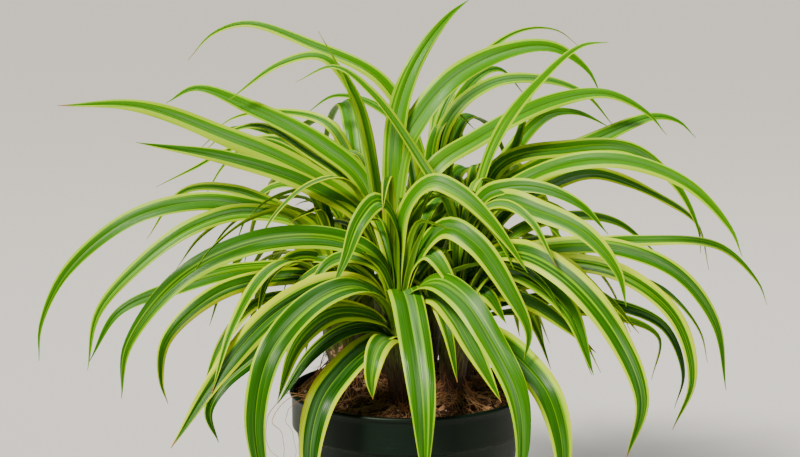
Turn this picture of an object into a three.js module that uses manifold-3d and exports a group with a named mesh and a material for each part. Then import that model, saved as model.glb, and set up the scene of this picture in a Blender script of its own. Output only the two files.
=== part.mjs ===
// A spider plant in a round plastic nursery pot, in millimetres, +Z up.
// The origin is the centre of the pot's flat bottom, and the side shown to the viewer is -Y.
import * as THREE from "three";
import { mergeVertices } from "three/addons/utils/BufferGeometryUtils.js";
import Module from "manifold-3d";

const wasm = await Module();
wasm.setup();

// Pot
const POT_HEIGHT = 125;
const RIM_RADIUS = 80;
const BASE_RADIUS = 57;
const POT_WALL = 1.6;
const POT_FLOOR = 2.4;
const COLLAR_HEIGHT = 24;
const COLLAR_STEP = 2.2;
const BEAD_RADIUS = 1.7;
const BEAD_TURNS = [-50, 0, 45, 90, 140];
const FOOT_ROUND = 3;
const FOOT_BEVEL = 0.9;
const DRAIN_HOLES = 6;
const DRAIN_RADIUS = 4.5;
const DRAIN_CIRCLE = 43;
const DRAIN_SIDES = 16;
const DRILL_LENGTH = 15;
const POT_SIDES = 40;

// Potting mix
const CLEARANCE = 0.3;
const SOIL_EDGE = 117;
const SOIL_DOME = 5;
const SOIL_LUMP = 1.4;
const LUMP_LENGTH = 6.1;
const LUMP_WIDTH = 5.3;
const SMALL_LUMP = 3.7;
const SMALL_LUMP_SHARE = 0.6;
const HEAP = { x: -44, y: -2, height: 28, reach: 19 };
const SOIL_RINGS = 5;

// Crowns: short stems that the leaves grow from, wrapped in the leaves' sheaths at the top
const STEM_BOTTOM = 98;
const STEM_RADIUS = 6.5;
const SHEATH_RADIUS = 9.5;
const SHEATH_TIP_RADIUS = 7;
const SHEATH_HEIGHT = 28;
const PLAIN_STEM_SHARE = 0.55;
const STEM_SIDES = 10;
const LEAF_ROOT_DEPTH = 13;
const LEAF_ROOT_OUT = 2;
const LEAF_PART_HEIGHT = 2;
const LEAF_PART_OUT = 3;

// Leaves: thin blades with a shallow channel along the midrib
const RIB_THICKNESS = 1.4;
const ROOT_WIDTH_SHARE = 0.4;
const WIDEST_AT = 0.45;
const WIDTH_GROWN_AT = 0.35;
const TAPER_POWER = 2.2;
const TIP_WIDTH = 1.2;
const CHANNEL_AT_ROOT = 0.4;
const CHANNEL_AT_TIP = 0.2;
const CHANNEL_SETTLED_AT = 0.5;
const ROLL_SETTLED_AT = 0.4;
const SEGMENT_LENGTH = 48;
const FEWEST_SEGMENTS = 4;

// Leaves on the side that the viewer doesn't see: four tiers in turn. A route runs out by shares of the
// leaf's reach, after its rise up to its highest point and then down by shares of its drop.
const TIERS = [
  { reach: 205, rise: 105, drop: 95, width: 14 },
  { reach: 140, rise: 145, drop: 55, width: 13 },
  { reach: 160, rise: 55, drop: 100, width: 15 },
  { reach: 105, rise: 30, drop: 75, width: 17 },
];
const TIER_RISING = { out: 0.12, risen: 0.62 };
const TIER_FALLING = [
  { out: 0.36, dropped: 0.06 },
  { out: 0.6, dropped: 0.1 },
  { out: 0.85, dropped: 0.5 },
  { out: 1, dropped: 1 },
];
const SIDEWAYS_REACH = 0.5;
const REACH_VARIES = 0.09;
const RISE_VARIES = 0.07;
const ROLL_VARIES = 30;
const RISE_SEED = 50;
const ROLL_SEED = 90;

// Young leaves: a pair in the middle of each crown, one of them standing higher than the other
const YOUNG_WIDTH = 9;
const YOUNG_TURN = 55;
const YOUNG_ROUTE = [
  { out: 5, up: 28, apart: 0 },
  { out: 14, up: 60, apart: 6 },
  { out: 27, up: 82, apart: 12 },
];

// Finishes
const POT_FINISH = { color: 0x1d2b26, roughness: 0.5 };
const SOIL_FINISH = { color: 0x3a2618, roughness: 0.95 };
const LEAF_FINISH = { color: 0x4c9416, roughness: 0.4 };

// Points closer than this are one point.
const SAME_POINT = 1e-4;

const radians = THREE.MathUtils.degToRad;
const smoothstep = THREE.MathUtils.smoothstep;

// A leaf's route lies in its own upright plane through the crown. It is written as points [out, up]:
// out from the crown's head along the heading, up from the floor. Headings run anticlockwise from +X
// seen from above, so -90 is towards the viewer. Roll turns the blade about its midrib, by the right
// hand.
function leaf(heading, width, roll, route) {
  return { heading, width, roll, route };
}

// The same number between -1 and 1 each time for a given seed.
function scatter(seed) {
  const modulus = 2147483647;
  let state = seed * 7919 + 17;
  for (let turn = 0; turn < 3; turn++) state = (state * 16807) % modulus;
  return (2 * state) / modulus - 1;
}

// A tiered fan of leaves, evenly spread from one heading to another, each with a little of its own
// reach, rise and roll. They reach furthest straight back.
function fan(headZ, from, to, count, seed) {
  return Array.from({ length: count }, (_, i) => {
    const tier = TIERS[i % TIERS.length];
    const heading = from + ((to - from) * i) / (count - 1);
    const backward = THREE.MathUtils.lerp(SIDEWAYS_REACH, 1, Math.sin(radians(heading)) ** 2);
    const reach = tier.reach * backward * (1 + REACH_VARIES * scatter(seed + i));
    const rise = tier.rise * (1 + RISE_VARIES * scatter(seed + RISE_SEED + i));
    const roll = ROLL_VARIES * scatter(seed + ROLL_SEED + i);
    const falling = TIER_FALLING.map(({ out, dropped }) => [
      reach * out,
      headZ + rise - tier.drop * dropped,
    ]);
    const rising = [reach * TIER_RISING.out, headZ + rise * TIER_RISING.risen];
    return leaf(heading, tier.width, roll, [rising, ...falling]);
  });
}

// Two young leaves in the middle of a crown, still short and upright, either side of one heading.
function youngLeaves(headZ, heading) {
  return [-1, 1].map((side) => {
    const route = YOUNG_ROUTE.map(({ out, up, apart }) => [out, headZ + up + apart * side]);
    return leaf(heading + YOUNG_TURN * side, YOUNG_WIDTH, 0, route);
  });
}

const CROWNS = [
  {
    name: "crown_front",
    foot: [-4, -42],
    head: [-6, -32, 156],
    leaves: [
      leaf(193, 16, -60, [[14, 216], [42, 232], [94, 232], [140, 212], [175, 170], [180, 136]]),
      leaf(215, 17, -55, [[14, 194], [50, 207], [94, 194], [135, 160], [168, 120]]),
      leaf(226, 17, -35, [[14, 190], [40, 205], [75, 201], [112, 176], [125, 138], [119, 92], [112, 60]]),
      leaf(222, 13, -45, [[16, 178], [40, 188], [62, 188], [85, 174], [101, 142]]),
      leaf(217, 10, -45, [[20, 175], [45, 176], [70, 164], [95, 137]]),
      leaf(231, 20, -25, [[10, 168], [34, 164], [58, 154], [78, 138], [88, 106], [80, 68]]),
      leaf(250, 16, -15, [[8, 164], [28, 170], [43, 165], [51, 151], [49, 137]]),
      leaf(-78, 21, 8, [[8, 198], [22, 195], [38, 181], [54, 164], [68, 139], [74, 108], [76, 88]]),
      leaf(-40, 16, 35, [[14, 190], [30, 197], [46, 186], [60, 168], [83, 137]]),
      leaf(-47, 18, 35, [[14, 196], [34, 207], [58, 200], [84, 176], [105, 148], [110, 118], [104, 82]]),
      leaf(-30, 16, 50, [[14, 218], [34, 241], [55, 233], [80, 204], [93, 180], [90, 162]]),
      leaf(218, 15, -50, [[3, 238], [17, 257], [32, 246], [44, 222], [54, 205]]),
      leaf(205, 12, -50, [[14, 212], [35, 222], [50, 219], [66, 200]]),
      leaf(-22, 14, 55, [[4, 248], [22, 269], [40, 264], [60, 248], [76, 230], [87, 215]]),
      leaf(-38, 14, 40, [[12, 214], [24, 224], [38, 212], [50, 190]]),
      leaf(42, 15, 15, [[3, 200], [14, 220], [30, 236], [50, 251]]),
      ...youngLeaves(156, -100),
    ],
  },
  {
    name: "crown_front_right",
    foot: [27, -26],
    head: [30, -20, 158],
    leaves: [
      leaf(178, 11, -30, [[3, 245], [20, 276], [54, 324], [78, 341], [103, 331]]),
      leaf(-20, 13, 50, [[18, 256], [36, 265], [60, 265], [85, 255], [102, 238]]),
      leaf(-30, 17, 50, [[12, 236], [33, 256], [60, 252], [92, 241], [115, 218], [121, 197]]),
      leaf(-42, 9, 40, [[20, 246], [40, 256], [62, 248], [83, 221]]),
      leaf(-35, 18, 45, [[26, 218], [50, 225], [84, 213], [119, 181], [138, 142], [128, 102]]),
      leaf(-22, 17, 45, [[24, 210], [46, 210], [76, 190], [95, 147]]),
      leaf(-8, 14, 35, [[28, 192], [50, 187], [75, 171], [93, 156]]),
      leaf(-44, 8, 40, [[8, 196], [17, 197], [26, 185]]),
      leaf(-30, 14, 40, [[10, 192], [22, 195], [38, 177]]),
      leaf(-50, 19, 35, [[20, 172], [40, 168], [62, 160], [88, 142], [101, 110], [98, 72]]),
      leaf(-14, 8, 25, [[8, 204], [25, 207], [44, 200]]),
      leaf(-4, 10, 40, [[18, 218], [42, 226], [66, 216], [84, 194]]),
      ...youngLeaves(158, -50),
    ],
  },
  {
    name: "crown_left",
    foot: [-38, -5],
    head: [-46, -4, 158],
    leaves: [
      leaf(172, 8, -60, [[10, 234], [31, 243], [70, 258], [105, 256], [131, 223]]),
      leaf(183, 13, -60, [[13, 232], [50, 246], [90, 252], [138, 240], [179, 206], [197, 170], [199, 146]]),
      leaf(191, 12, -60, [[18, 232], [60, 246], [95, 238], [128, 216], [158, 183], [166, 145]]),
      leaf(202, 13, -50, [[10, 197], [45, 203], [84, 196], [118, 168], [122, 142], [118, 126]]),
      leaf(193, 12, -50, [[15, 201], [60, 208], [105, 199], [145, 184], [165, 152]]),
      leaf(170, 5, -40, [[4, 226], [9, 240], [22, 246]]),
      leaf(165, 6, -20, [[3, 222], [5, 246]]),
      leaf(212, 9, -50, [[11, 212], [32, 218], [52, 207], [62, 179]]),
      leaf(215, 12, -50, [[15, 170], [40, 169], [69, 154], [90, 140], [100, 124], [93, 103]]),
      ...youngLeaves(158, 180),
    ],
  },
  {
    name: "crown_centre",
    foot: [-10, 6],
    head: [-12, 8, 172],
    leaves: [
      leaf(185, 12, -40, [[12, 271], [25, 322], [45, 345], [72, 341], [106, 318]]),
      leaf(193, 8, 0, [[14, 260], [22, 303], [34, 338], [48, 363]]),
      leaf(195, 16, -60, [[18, 240], [57, 271], [110, 296], [165, 317], [216, 319]]),
      leaf(203, 14, -60, [[20, 236], [60, 264], [110, 283], [172, 297]]),
      leaf(180, 15, -60, [[17, 260], [47, 288], [90, 311], [128, 325], [148, 315]]),
      leaf(175, 8, -50, [[22, 254], [56, 282], [85, 299], [108, 295], [126, 281]]),
      leaf(30, 15, 60, [[4, 300], [13, 330], [26, 351], [46, 372], [61, 382]]),
      leaf(15, 16, 60, [[6, 278], [18, 303], [42, 330], [80, 348], [113, 350], [138, 334], [148, 317]]),
      leaf(13, 13, 60, [[26, 266], [60, 290], [110, 313], [150, 318], [180, 304], [194, 289]]),
      ...youngLeaves(172, -70),
    ],
  },
  {
    name: "crown_right",
    foot: [33, 15],
    head: [38, 18, 162],
    leaves: [
      leaf(-24, 14, 50, [[11, 258], [28, 300], [53, 331], [80, 354], [98, 357]]),
      leaf(20, 14, 55, [[14, 244], [57, 270], [99, 287], [141, 300], [160, 296], [174, 284]]),
      leaf(-15, 13, 60, [[20, 245], [53, 270], [102, 279], [147, 265], [176, 237], [184, 219]]),
      leaf(5, 12, 60, [[21, 270], [68, 283], [112, 282], [143, 258], [160, 226], [162, 210]]),
      leaf(30, 12, 50, [[26, 232], [71, 255], [104, 260], [150, 245], [200, 215], [212, 181]]),
      leaf(0, 10, 45, [[26, 206], [64, 216], [115, 221], [171, 217], [198, 193], [205, 177]]),
      leaf(-20, 13, 55, [[28, 202], [68, 211], [109, 205], [144, 179], [156, 139], [144, 104]]),
      leaf(-8, 13, 55, [[22, 208], [51, 217], [100, 219], [140, 204], [167, 171], [176, 124]]),
      leaf(12, 8, 40, [[40, 196], [80, 201], [116, 192], [144, 180], [170, 150], [176, 128]]),
      leaf(-3, 10, 45, [[28, 178], [64, 182], [101, 178], [135, 163], [148, 131], [143, 107]]),
      leaf(40, 11, 45, [[28, 260], [52, 287], [76, 301], [105, 301], [142, 287]]),
      leaf(26, 11, 20, [[22, 260], [38, 281], [47, 310], [56, 330]]),
      leaf(-12, 9, 45, [[26, 188], [60, 194], [95, 186], [118, 163]]),
      leaf(8, 10, 45, [[30, 222], [70, 236], [105, 231], [135, 208]]),
      leaf(5, 8, 45, [[50, 172], [100, 168], [134, 152], [130, 122]]),
      ...youngLeaves(162, 10),
    ],
  },
  {
    name: "crown_back_left",
    foot: [-25, 37],
    head: [-30, 42, 160],
    leaves: [
      leaf(155, 8, -50, [[7, 260], [27, 296], [72, 303], [103, 297], [119, 287]]),
      leaf(168, 7, -50, [[20, 254], [62, 286], [97, 277], [122, 264], [150, 250]]),
      leaf(146, 5, -40, [[35, 260], [85, 287], [123, 286], [150, 268]]),
      leaf(178, 7, -40, [[28, 258], [70, 286], [94, 271], [111, 245]]),
      leaf(187, 8, -40, [[21, 240], [53, 257], [73, 249], [88, 218]]),
      ...fan(160, 98, 142, 8, 5),
      ...youngLeaves(160, 125),
    ],
  },
  {
    name: "crown_back_right",
    foot: [12, 42],
    head: [14, 48, 160],
    leaves: [
      leaf(172, 11, -50, [[8, 278], [34, 327], [82, 350], [125, 364], [150, 357], [168, 339]]),
      leaf(168, 8, -50, [[18, 290], [38, 309], [66, 315], [87, 302]]),
      leaf(35, 6, 40, [[9, 300], [46, 342], [80, 358], [113, 357], [132, 346]]),
      leaf(14, 11, 50, [[12, 296], [43, 323], [80, 326], [112, 315], [135, 291]]),
      leaf(28, 12, 40, [[3, 282], [10, 297], [19, 304], [37, 291]]),
      leaf(48, 10, 45, [[18, 288], [45, 322], [76, 330], [108, 308]]),
      ...fan(160, 50, 90, 8, 31),
      ...youngLeaves(160, 72),
    ],
  },
];

// A closed geometry, whatever its seams and poles, as a solid that can be joined and cut.
function toSolid(geometry) {
  const bare = geometry.index ? geometry.toNonIndexed() : geometry.clone();
  bare.deleteAttribute("normal");
  bare.deleteAttribute("uv");
  const merged = mergeVertices(bare, SAME_POINT);
  const corners = merged.index.array;
  const kept = [];
  for (let i = 0; i < corners.length; i += 3) {
    const [a, b, c] = corners.subarray(i, i + 3);
    if (a !== b && b !== c && c !== a) kept.push(a, b, c);
  }
  return new wasm.Manifold(
    new wasm.Mesh({
      numProp: 3,
      vertProperties: merged.attributes.position.array,
      triVerts: new Uint32Array(kept),
    }),
  );
}

function toGeometry(solid) {
  const { numProp, vertProperties, triVerts } = solid.getMesh();
  const geometry = new THREE.BufferGeometry();
  const vertices = new THREE.InterleavedBuffer(vertProperties, numProp);
  geometry.setAttribute("position", new THREE.InterleavedBufferAttribute(vertices, 3, 0));
  geometry.setIndex(new THREE.BufferAttribute(triVerts, 1));
  return geometry;
}

function mesh(name, solid, finish) {
  const material = new THREE.MeshStandardMaterial(finish);
  const made = new THREE.Mesh(toGeometry(solid).toNonIndexed(), material);
  made.geometry.computeVertexNormals();
  made.name = name;
  return made;
}

// Turns a profile of [radius, height] pairs about +Z.
function turned(profile, sides) {
  const points = profile.map(([radius, height]) => new THREE.Vector2(radius, height));
  return new THREE.LatheGeometry(points, sides).rotateX(Math.PI / 2);
}

// The pot's outer radius below its collar.
function wallRadius(height) {
  const top = POT_HEIGHT - COLLAR_HEIGHT;
  return THREE.MathUtils.mapLinear(height, 0, top, BASE_RADIUS, RIM_RADIUS - BEAD_RADIUS - COLLAR_STEP);
}

// A thin shell with a rolled bead on its rim, a plain collar below the bead and a ring of drain holes.
function pot() {
  const collarOuter = RIM_RADIUS - BEAD_RADIUS;
  const collarBottom = POT_HEIGHT - COLLAR_HEIGHT;
  const beadMiddle = POT_HEIGHT - BEAD_RADIUS;
  const bead = BEAD_TURNS.map((turn) => [
    collarOuter + BEAD_RADIUS * Math.cos(radians(turn)),
    beadMiddle + BEAD_RADIUS * Math.sin(radians(turn)),
  ]);
  const outside = [
    [0, 0],
    [BASE_RADIUS - FOOT_ROUND, 0],
    [BASE_RADIUS - FOOT_BEVEL, FOOT_BEVEL],
    [wallRadius(FOOT_ROUND), FOOT_ROUND],
    [wallRadius(collarBottom - COLLAR_STEP), collarBottom - COLLAR_STEP],
    [collarOuter, collarBottom],
    [collarOuter, beadMiddle - BEAD_RADIUS],
  ];
  const inside = [
    [collarOuter - POT_WALL, POT_HEIGHT - 2 * BEAD_RADIUS],
    [collarOuter - POT_WALL, collarBottom + POT_WALL],
    [wallRadius(collarBottom) - POT_WALL, collarBottom - COLLAR_STEP],
    [wallRadius(POT_FLOOR) - POT_WALL, POT_FLOOR],
    [0, POT_FLOOR],
  ];
  let shell = toSolid(turned([...outside, ...bead, ...inside], POT_SIDES));
  for (let hole = 0; hole < DRAIN_HOLES; hole++) {
    const turn = (hole * 2 * Math.PI) / DRAIN_HOLES;
    const drill = new THREE.CylinderGeometry(DRAIN_RADIUS, DRAIN_RADIUS, DRILL_LENGTH, DRAIN_SIDES)
      .rotateX(Math.PI / 2)
      .translate(DRAIN_CIRCLE * Math.cos(turn), DRAIN_CIRCLE * Math.sin(turn), 0);
    shell = shell.subtract(toSolid(drill));
  }
  return shell;
}

// Lumps of coir and bark, heaped up round the left crown, as a smooth formula of the place on the surface.
function soilHeight(x, y) {
  const share = Math.hypot(x, y) / RIM_RADIUS;
  const large = Math.sin(x / LUMP_LENGTH + 1) * Math.cos(y / LUMP_WIDTH);
  const lumps = large + SMALL_LUMP_SHARE * Math.sin((x + y) / SMALL_LUMP);
  const away = Math.hypot(x - HEAP.x, y - HEAP.y) / HEAP.reach;
  const heap = HEAP.height * Math.exp(-away * away);
  return SOIL_EDGE + SOIL_DOME * (1 - share * share) + SOIL_LUMP * lumps * (1 - share) + heap;
}

// The mix fills the pot from its floor to just below the rim, with a hole for each stem.
function soil() {
  const collarInner = RIM_RADIUS - BEAD_RADIUS - POT_WALL - CLEARANCE;
  const collarBottom = POT_HEIGHT - COLLAR_HEIGHT + POT_WALL + CLEARANCE;
  const wallInner = (height) => wallRadius(height) - POT_WALL - CLEARANCE;
  const top = Array.from({ length: SOIL_RINGS + 1 }, (_, ring) => [
    collarInner * (1 - ring / SOIL_RINGS),
    SOIL_EDGE,
  ]);
  const profile = [
    [0, POT_FLOOR + CLEARANCE],
    [wallInner(POT_FLOOR), POT_FLOOR + CLEARANCE],
    [wallInner(POT_HEIGHT - COLLAR_HEIGHT - COLLAR_STEP), POT_HEIGHT - COLLAR_HEIGHT - COLLAR_STEP],
    [collarInner, collarBottom],
    ...top,
  ];
  const geometry = turned(profile, POT_SIDES);
  const position = geometry.attributes.position;
  for (let i = 0; i < position.count; i++) {
    if (position.getZ(i) < SOIL_EDGE - CLEARANCE) continue;
    position.setZ(i, soilHeight(position.getX(i), position.getY(i)));
  }
  const holes = CROWNS.map((crown) => toSolid(stemGeometry(crown, CLEARANCE)));
  return toSolid(geometry).subtract(wasm.Manifold.union(holes));
}

// A stubby stem from its foot in the mix to its head, where the leaves part. Grown by a margin, it is
// the hole that the stem stands in.
function stemGeometry({ foot, head }, margin = 0) {
  const height = head[2] - STEM_BOTTOM;
  const radius = STEM_RADIUS + margin;
  const profile = [
    [0, -margin],
    [radius, -margin],
    [radius, height * PLAIN_STEM_SHARE],
    [SHEATH_RADIUS + margin, height],
    [SHEATH_TIP_RADIUS + margin, height + SHEATH_HEIGHT],
    [0, height + SHEATH_HEIGHT + margin],
  ];
  const geometry = turned(profile, STEM_SIDES);
  const leanX = (head[0] - foot[0]) / height;
  const leanY = (head[1] - foot[1]) / height;
  const lean = new THREE.Matrix4().makeShear(0, 0, 0, 0, leanX, leanY);
  return geometry.applyMatrix4(lean).translate(foot[0], foot[1], STEM_BOTTOM);
}

// The midrib as a smooth curve: up out of the stem's head, then along the leaf's own route.
function midrib(crown, { heading, route }) {
  const turn = radians(heading);
  const [headX, headY, headZ] = crown.head;
  const root = [LEAF_ROOT_OUT, headZ - LEAF_ROOT_DEPTH];
  const parting = [LEAF_PART_OUT, headZ + LEAF_PART_HEIGHT];
  return new THREE.CatmullRomCurve3(
    [root, parting, ...route].map(
      ([out, up]) => new THREE.Vector3(headX + out * Math.cos(turn), headY + out * Math.sin(turn), up),
    ),
  );
}

// Half the blade's width at a share of its length: it widens from the root, keeps its width past the
// middle and narrows to a long point.
function halfWidth(width, share) {
  const grown = ROOT_WIDTH_SHARE + (1 - ROOT_WIDTH_SHARE) * smoothstep(share, 0, WIDTH_GROWN_AT);
  const past = Math.max(0, (share - WIDEST_AT) / (1 - WIDEST_AT));
  return Math.max(TIP_WIDTH, width * grown * (1 - past ** TAPER_POWER)) / 2;
}

// Four points round the blade at a share of its length: one edge, the midrib's upper side, the other
// edge and the midrib's lower side. The blade is thickest along its midrib and thins out to its edges.
function section(curve, { heading, width, roll }, share) {
  const turn = radians(heading);
  const middle = curve.getPointAt(share);
  const along = curve.getTangentAt(share);
  const across = new THREE.Vector3(-Math.sin(turn), Math.cos(turn), 0);
  across.addScaledVector(along, -across.dot(along)).normalize();
  across.applyAxisAngle(along, radians(roll) * smoothstep(share, 0, ROLL_SETTLED_AT));
  const upward = new THREE.Vector3().crossVectors(along, across);
  const half = halfWidth(width, share);
  const settled = smoothstep(share, 0, CHANNEL_SETTLED_AT);
  const channel = THREE.MathUtils.lerp(CHANNEL_AT_ROOT, CHANNEL_AT_TIP, settled);
  const corner = (side, lift) =>
    middle.clone().addScaledVector(across, side * half).addScaledVector(upward, lift);
  const edgeLift = half * channel;
  const ribLift = RIB_THICKNESS / 2;
  return [corner(-1, edgeLift), corner(0, ribLift), corner(1, edgeLift), corner(0, -ribLift)];
}

// The blade's skin between its sections. Both faces are split along the same diagonals.
function blade(crown, one) {
  const curve = midrib(crown, one);
  const segments = FEWEST_SEGMENTS + Math.round(curve.getLength() / SEGMENT_LENGTH);
  const rings = Array.from({ length: segments + 1 }, (_, i) => section(curve, one, i / segments));
  const corners = [];
  const triangle = (a, b, c) => corners.push(...a, ...b, ...c);
  for (let i = 0; i < segments; i++) {
    const [left, upper, right, lower] = rings[i];
    const [nextLeft, nextUpper, nextRight, nextLower] = rings[i + 1];
    triangle(left, nextUpper, upper);
    triangle(left, nextLeft, nextUpper);
    triangle(upper, nextRight, right);
    triangle(upper, nextUpper, nextRight);
    triangle(left, lower, nextLower);
    triangle(left, nextLower, nextLeft);
    triangle(lower, right, nextRight);
    triangle(lower, nextRight, nextLower);
  }
  const root = rings[0];
  const tip = rings[segments];
  triangle(root[0], root[1], root[3]);
  triangle(root[1], root[2], root[3]);
  triangle(tip[0], tip[3], tip[1]);
  triangle(tip[1], tip[3], tip[2]);
  const geometry = new THREE.BufferGeometry();
  geometry.setAttribute("position", new THREE.Float32BufferAttribute(corners, 3));
  return geometry;
}

// The outer skin of the largest body, so a hollow that the joining seals is filled.
function largestBody(solid) {
  return solid.decompose().reduce((one, other) => (other.volume() > one.volume() ? other : one));
}

// A crown's stem with all its leaves grown into it.
function crownSolid(crown) {
  const leaves = crown.leaves.map((one) => toSolid(blade(crown, one)));
  return largestBody(wasm.Manifold.union([toSolid(stemGeometry(crown)), ...leaves]));
}

const plant = new THREE.Group();
plant.add(mesh("pot", pot(), POT_FINISH));
plant.add(mesh("potting_mix", soil(), SOIL_FINISH));
for (const crown of CROWNS) plant.add(mesh(crown.name, crownSolid(crown), LEAF_FINISH));

export default plant;
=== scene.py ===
import functools
import math
import random
from typing import NamedTuple

import bmesh
import bpy
import numpy as np
from bpy.props import FloatProperty, FloatVectorProperty, IntProperty, PointerProperty
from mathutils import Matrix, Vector, noise


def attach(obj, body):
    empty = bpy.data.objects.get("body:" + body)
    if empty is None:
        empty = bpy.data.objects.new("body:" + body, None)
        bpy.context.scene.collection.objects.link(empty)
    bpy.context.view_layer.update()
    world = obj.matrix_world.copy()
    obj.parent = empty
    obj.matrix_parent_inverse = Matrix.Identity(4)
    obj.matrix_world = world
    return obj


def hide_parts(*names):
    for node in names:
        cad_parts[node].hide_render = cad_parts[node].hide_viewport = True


bl_info = {
    "name": "Potted spider plant",
    "version": (1, 0, 0),
    "blender": (4, 5, 0),
    "location": "3D View > Sidebar > Spider plant",
    "description": "Leaves, stems, potting mix, roots and nursery pot on the packed frame",
    "category": "Add Mesh",
}

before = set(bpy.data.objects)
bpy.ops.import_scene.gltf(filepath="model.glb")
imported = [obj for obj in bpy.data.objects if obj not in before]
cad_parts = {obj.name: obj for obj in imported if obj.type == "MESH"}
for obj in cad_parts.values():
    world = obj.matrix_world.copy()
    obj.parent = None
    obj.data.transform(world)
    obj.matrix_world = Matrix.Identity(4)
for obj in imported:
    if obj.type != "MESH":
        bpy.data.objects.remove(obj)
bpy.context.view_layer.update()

# Shapes are worked out in millimetres and turned to metres when a piece is made. Angles that are fixed here
# are in degrees where nothing else is said.
MM = 0.001

# What the headings of loose bits and the starts of waves are drawn from, in radians
ANY_TURN = (0, 6.3)
ANY_START = (0, 6)

# Seeds of the random draws, with a step and a start where each leaf or stem has its own
LEAF_SEEDS = (101, 7)
STEM_SEEDS = (31, 3)
LITTER_SEED = 11
WIRY_SEED = 29
HANGING_SEED = 70

# Pot
POT_HEIGHT = 125
RIM_RADIUS = 80
BASE_RADIUS = 57
POT_WALL = 1.6
POT_FLOOR = 2.4
COLLAR_HEIGHT = 24
COLLAR_STEP = 2.2
COLLAR_BOTTOM = POT_HEIGHT - COLLAR_HEIGHT
BEAD_RADIUS = 1.7
COLLAR_RADIUS = RIM_RADIUS - BEAD_RADIUS
FOOT_ROUND = 3
EDGE_ROUND = 0.8
DRAIN_HOLES = 6
DRAIN_RADIUS = 4.5
DRAIN_CIRCLE = 43
DRILL_REACH = 9
# The mark in the middle of the floor where the plastic was injected
GATE_RADIUS = 2.5
GATE_DEPTH = 0.6
POT_SIDES = 168
DRILL_SIDES = 40
POT_SHARP = 40

# Potting mix
CLEARANCE = 0.3
MIX_EDGE = 117
MIX_DOME = 5
MIX_LUMP = 1.4
LUMP_LENGTH = 6.1
LUMP_WIDTH = 5.3
SMALL_LUMP = 3.7
SMALL_LUMP_SHARE = 0.6
ROUGH_HEIGHT = 1.5
ROUGH_LENGTH = 7
# How fast the finer layers of roughness fade, how much finer each one is, and how many there are
ROUGH_LAYERS = (0.8, 2.1, 5)
MIX_SIDES = 200
MIX_RINGS = 100
INNERMOST_RING = 0.6

# Stems
STEM_BOTTOM = 98
STEM_RADIUS = 6.5
SHEATH_RADIUS = 9.5
SHEATH_TIP_RADIUS = 7
SHEATH_HEIGHT = 28
LEAF_ROOT_DEPTH = 13
LEAF_ROOT_OUT = 2
LEAF_PART_HEIGHT = 2
LEAF_PART_OUT = 3
PLAIN_STEM_SHARE = 0.55

# A stem's core: its knobs, which end where the leaves begin, and its ribs, which wind slowly up it. Knobs and
# ribs stand out by shares of its radius.
CORE_RINGS = 46
CORE_SIDES = 40
WOODY_SHARE = 0.7
KNOB_SHARE = 0.22
KNOBS_PER_MM = 0.3
RIBS = 9
RIB_SHARE = 0.03
RIB_TWIST = 0.05

# A stem's sheaths, each a golden turn, in radians, from the last. The lowest one's height and the step
# between them are shares of the stem's height. Each is a little longer and stands off further than the one
# below.
SHEATHS = 13
SHEATH_ROWS = 16
SHEATH_COLUMNS = 11
LOWEST_SHEATH = 0.28
SHEATH_STEP = 0.056
SHEATH_LENGTH = (20, 30)
SHEATH_LENGTHENS = 1.1
SHEATH_STAND_OFF = 0.2
SHEATH_LIFTS = 0.06
SHEATH_FLARE = (0.3, 1.6)
SHEATH_CROWN = 0.3
SHEATH_FLARE_POWER = 2.5
SHEATH_HALF_WRAP = 62
SHEATH_LEAST_WRAP = 0.03
SHEATH_OUTLINE = (2.4, 0.8)
SHEATH_HALF_THICKNESS = 0.35
SHEATH_THINS = 0.6
SHEATH_RIPENS = (-0.05, 0.12)
GOLDEN_TURN = 2.399

# How the grain goes round a stem: millimetres a radian round the core and over half a sheath's width, how far
# the cores' grain and knobs are apart, and where the sheaths' grain starts
CORE_GRAIN = 8
SHEATH_GRAIN = 9
GRAIN_STEP = 3.1
KNOB_STEP = 9
SHEATH_PATTERNS = (0, 30)

# Leaves: what their solids have too
ROOT_WIDTH_SHARE = 0.4
WIDEST_AT = 0.45
WIDTH_GROWN_AT = 0.35
TAPER_POWER = 2.2
TIP_WIDTH = 0.35
CHANNEL_AT_ROOT = 0.4
CHANNEL_AT_TIP = 0.2
CHANNEL_SETTLED_AT = 0.5
ROLL_SETTLED_AT = 0.4

# Leaves: what only the fine blades have. Shares are of the blade's length, or of half its width.
BLADE_ROWS = 58
INNER_BLADE_ROWS = 36
SWAY = 4
SWAY_LENGTH = (38, 60)
SWAY_FROM = (0.2, 0.6)
ARCH = (0.05, 0.12)
CHANNEL_POWER = 1.25
GROOVE_REACH = 0.12
GROOVE_ENDS = 0.1
RIPPLE_LENGTH = (55, 90)
RIPPLE_WIDTH = 18
RIPPLE_POWER = 3
RIPPLE_FROM = (0.15, 0.45)
RIPPLE_ENDS = 0.25
THINNEST = 0.35
FULL_THICKNESS_AT = 5
FRESH_LEAST = 0.1
FRESH_RISE = 200
FRESH_VARIES = 0.25
LEAF_PATTERNS = (0, 40)

# Places across a blade, closer together at the margins and beside the midrib's groove
COLUMNS = np.array([-1, -0.9, -0.74, -0.56, -0.38, -0.2, -0.07, 0, 0.07, 0.2, 0.38, 0.56, 0.74, 0.9, 1])

# Where a blade lies in its strip of the piece's texture: from where to where along it, the start and width of
# its upper side and of its underside across it, and from where to where its small end faces lie
STRIP_LENGTH = (0.015, 0.99)
STRIP_UPPER = (0.03, 0.6)
STRIP_UNDER = (0.67, 0.3)
STRIP_END = (0.003, 0.009)

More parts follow.
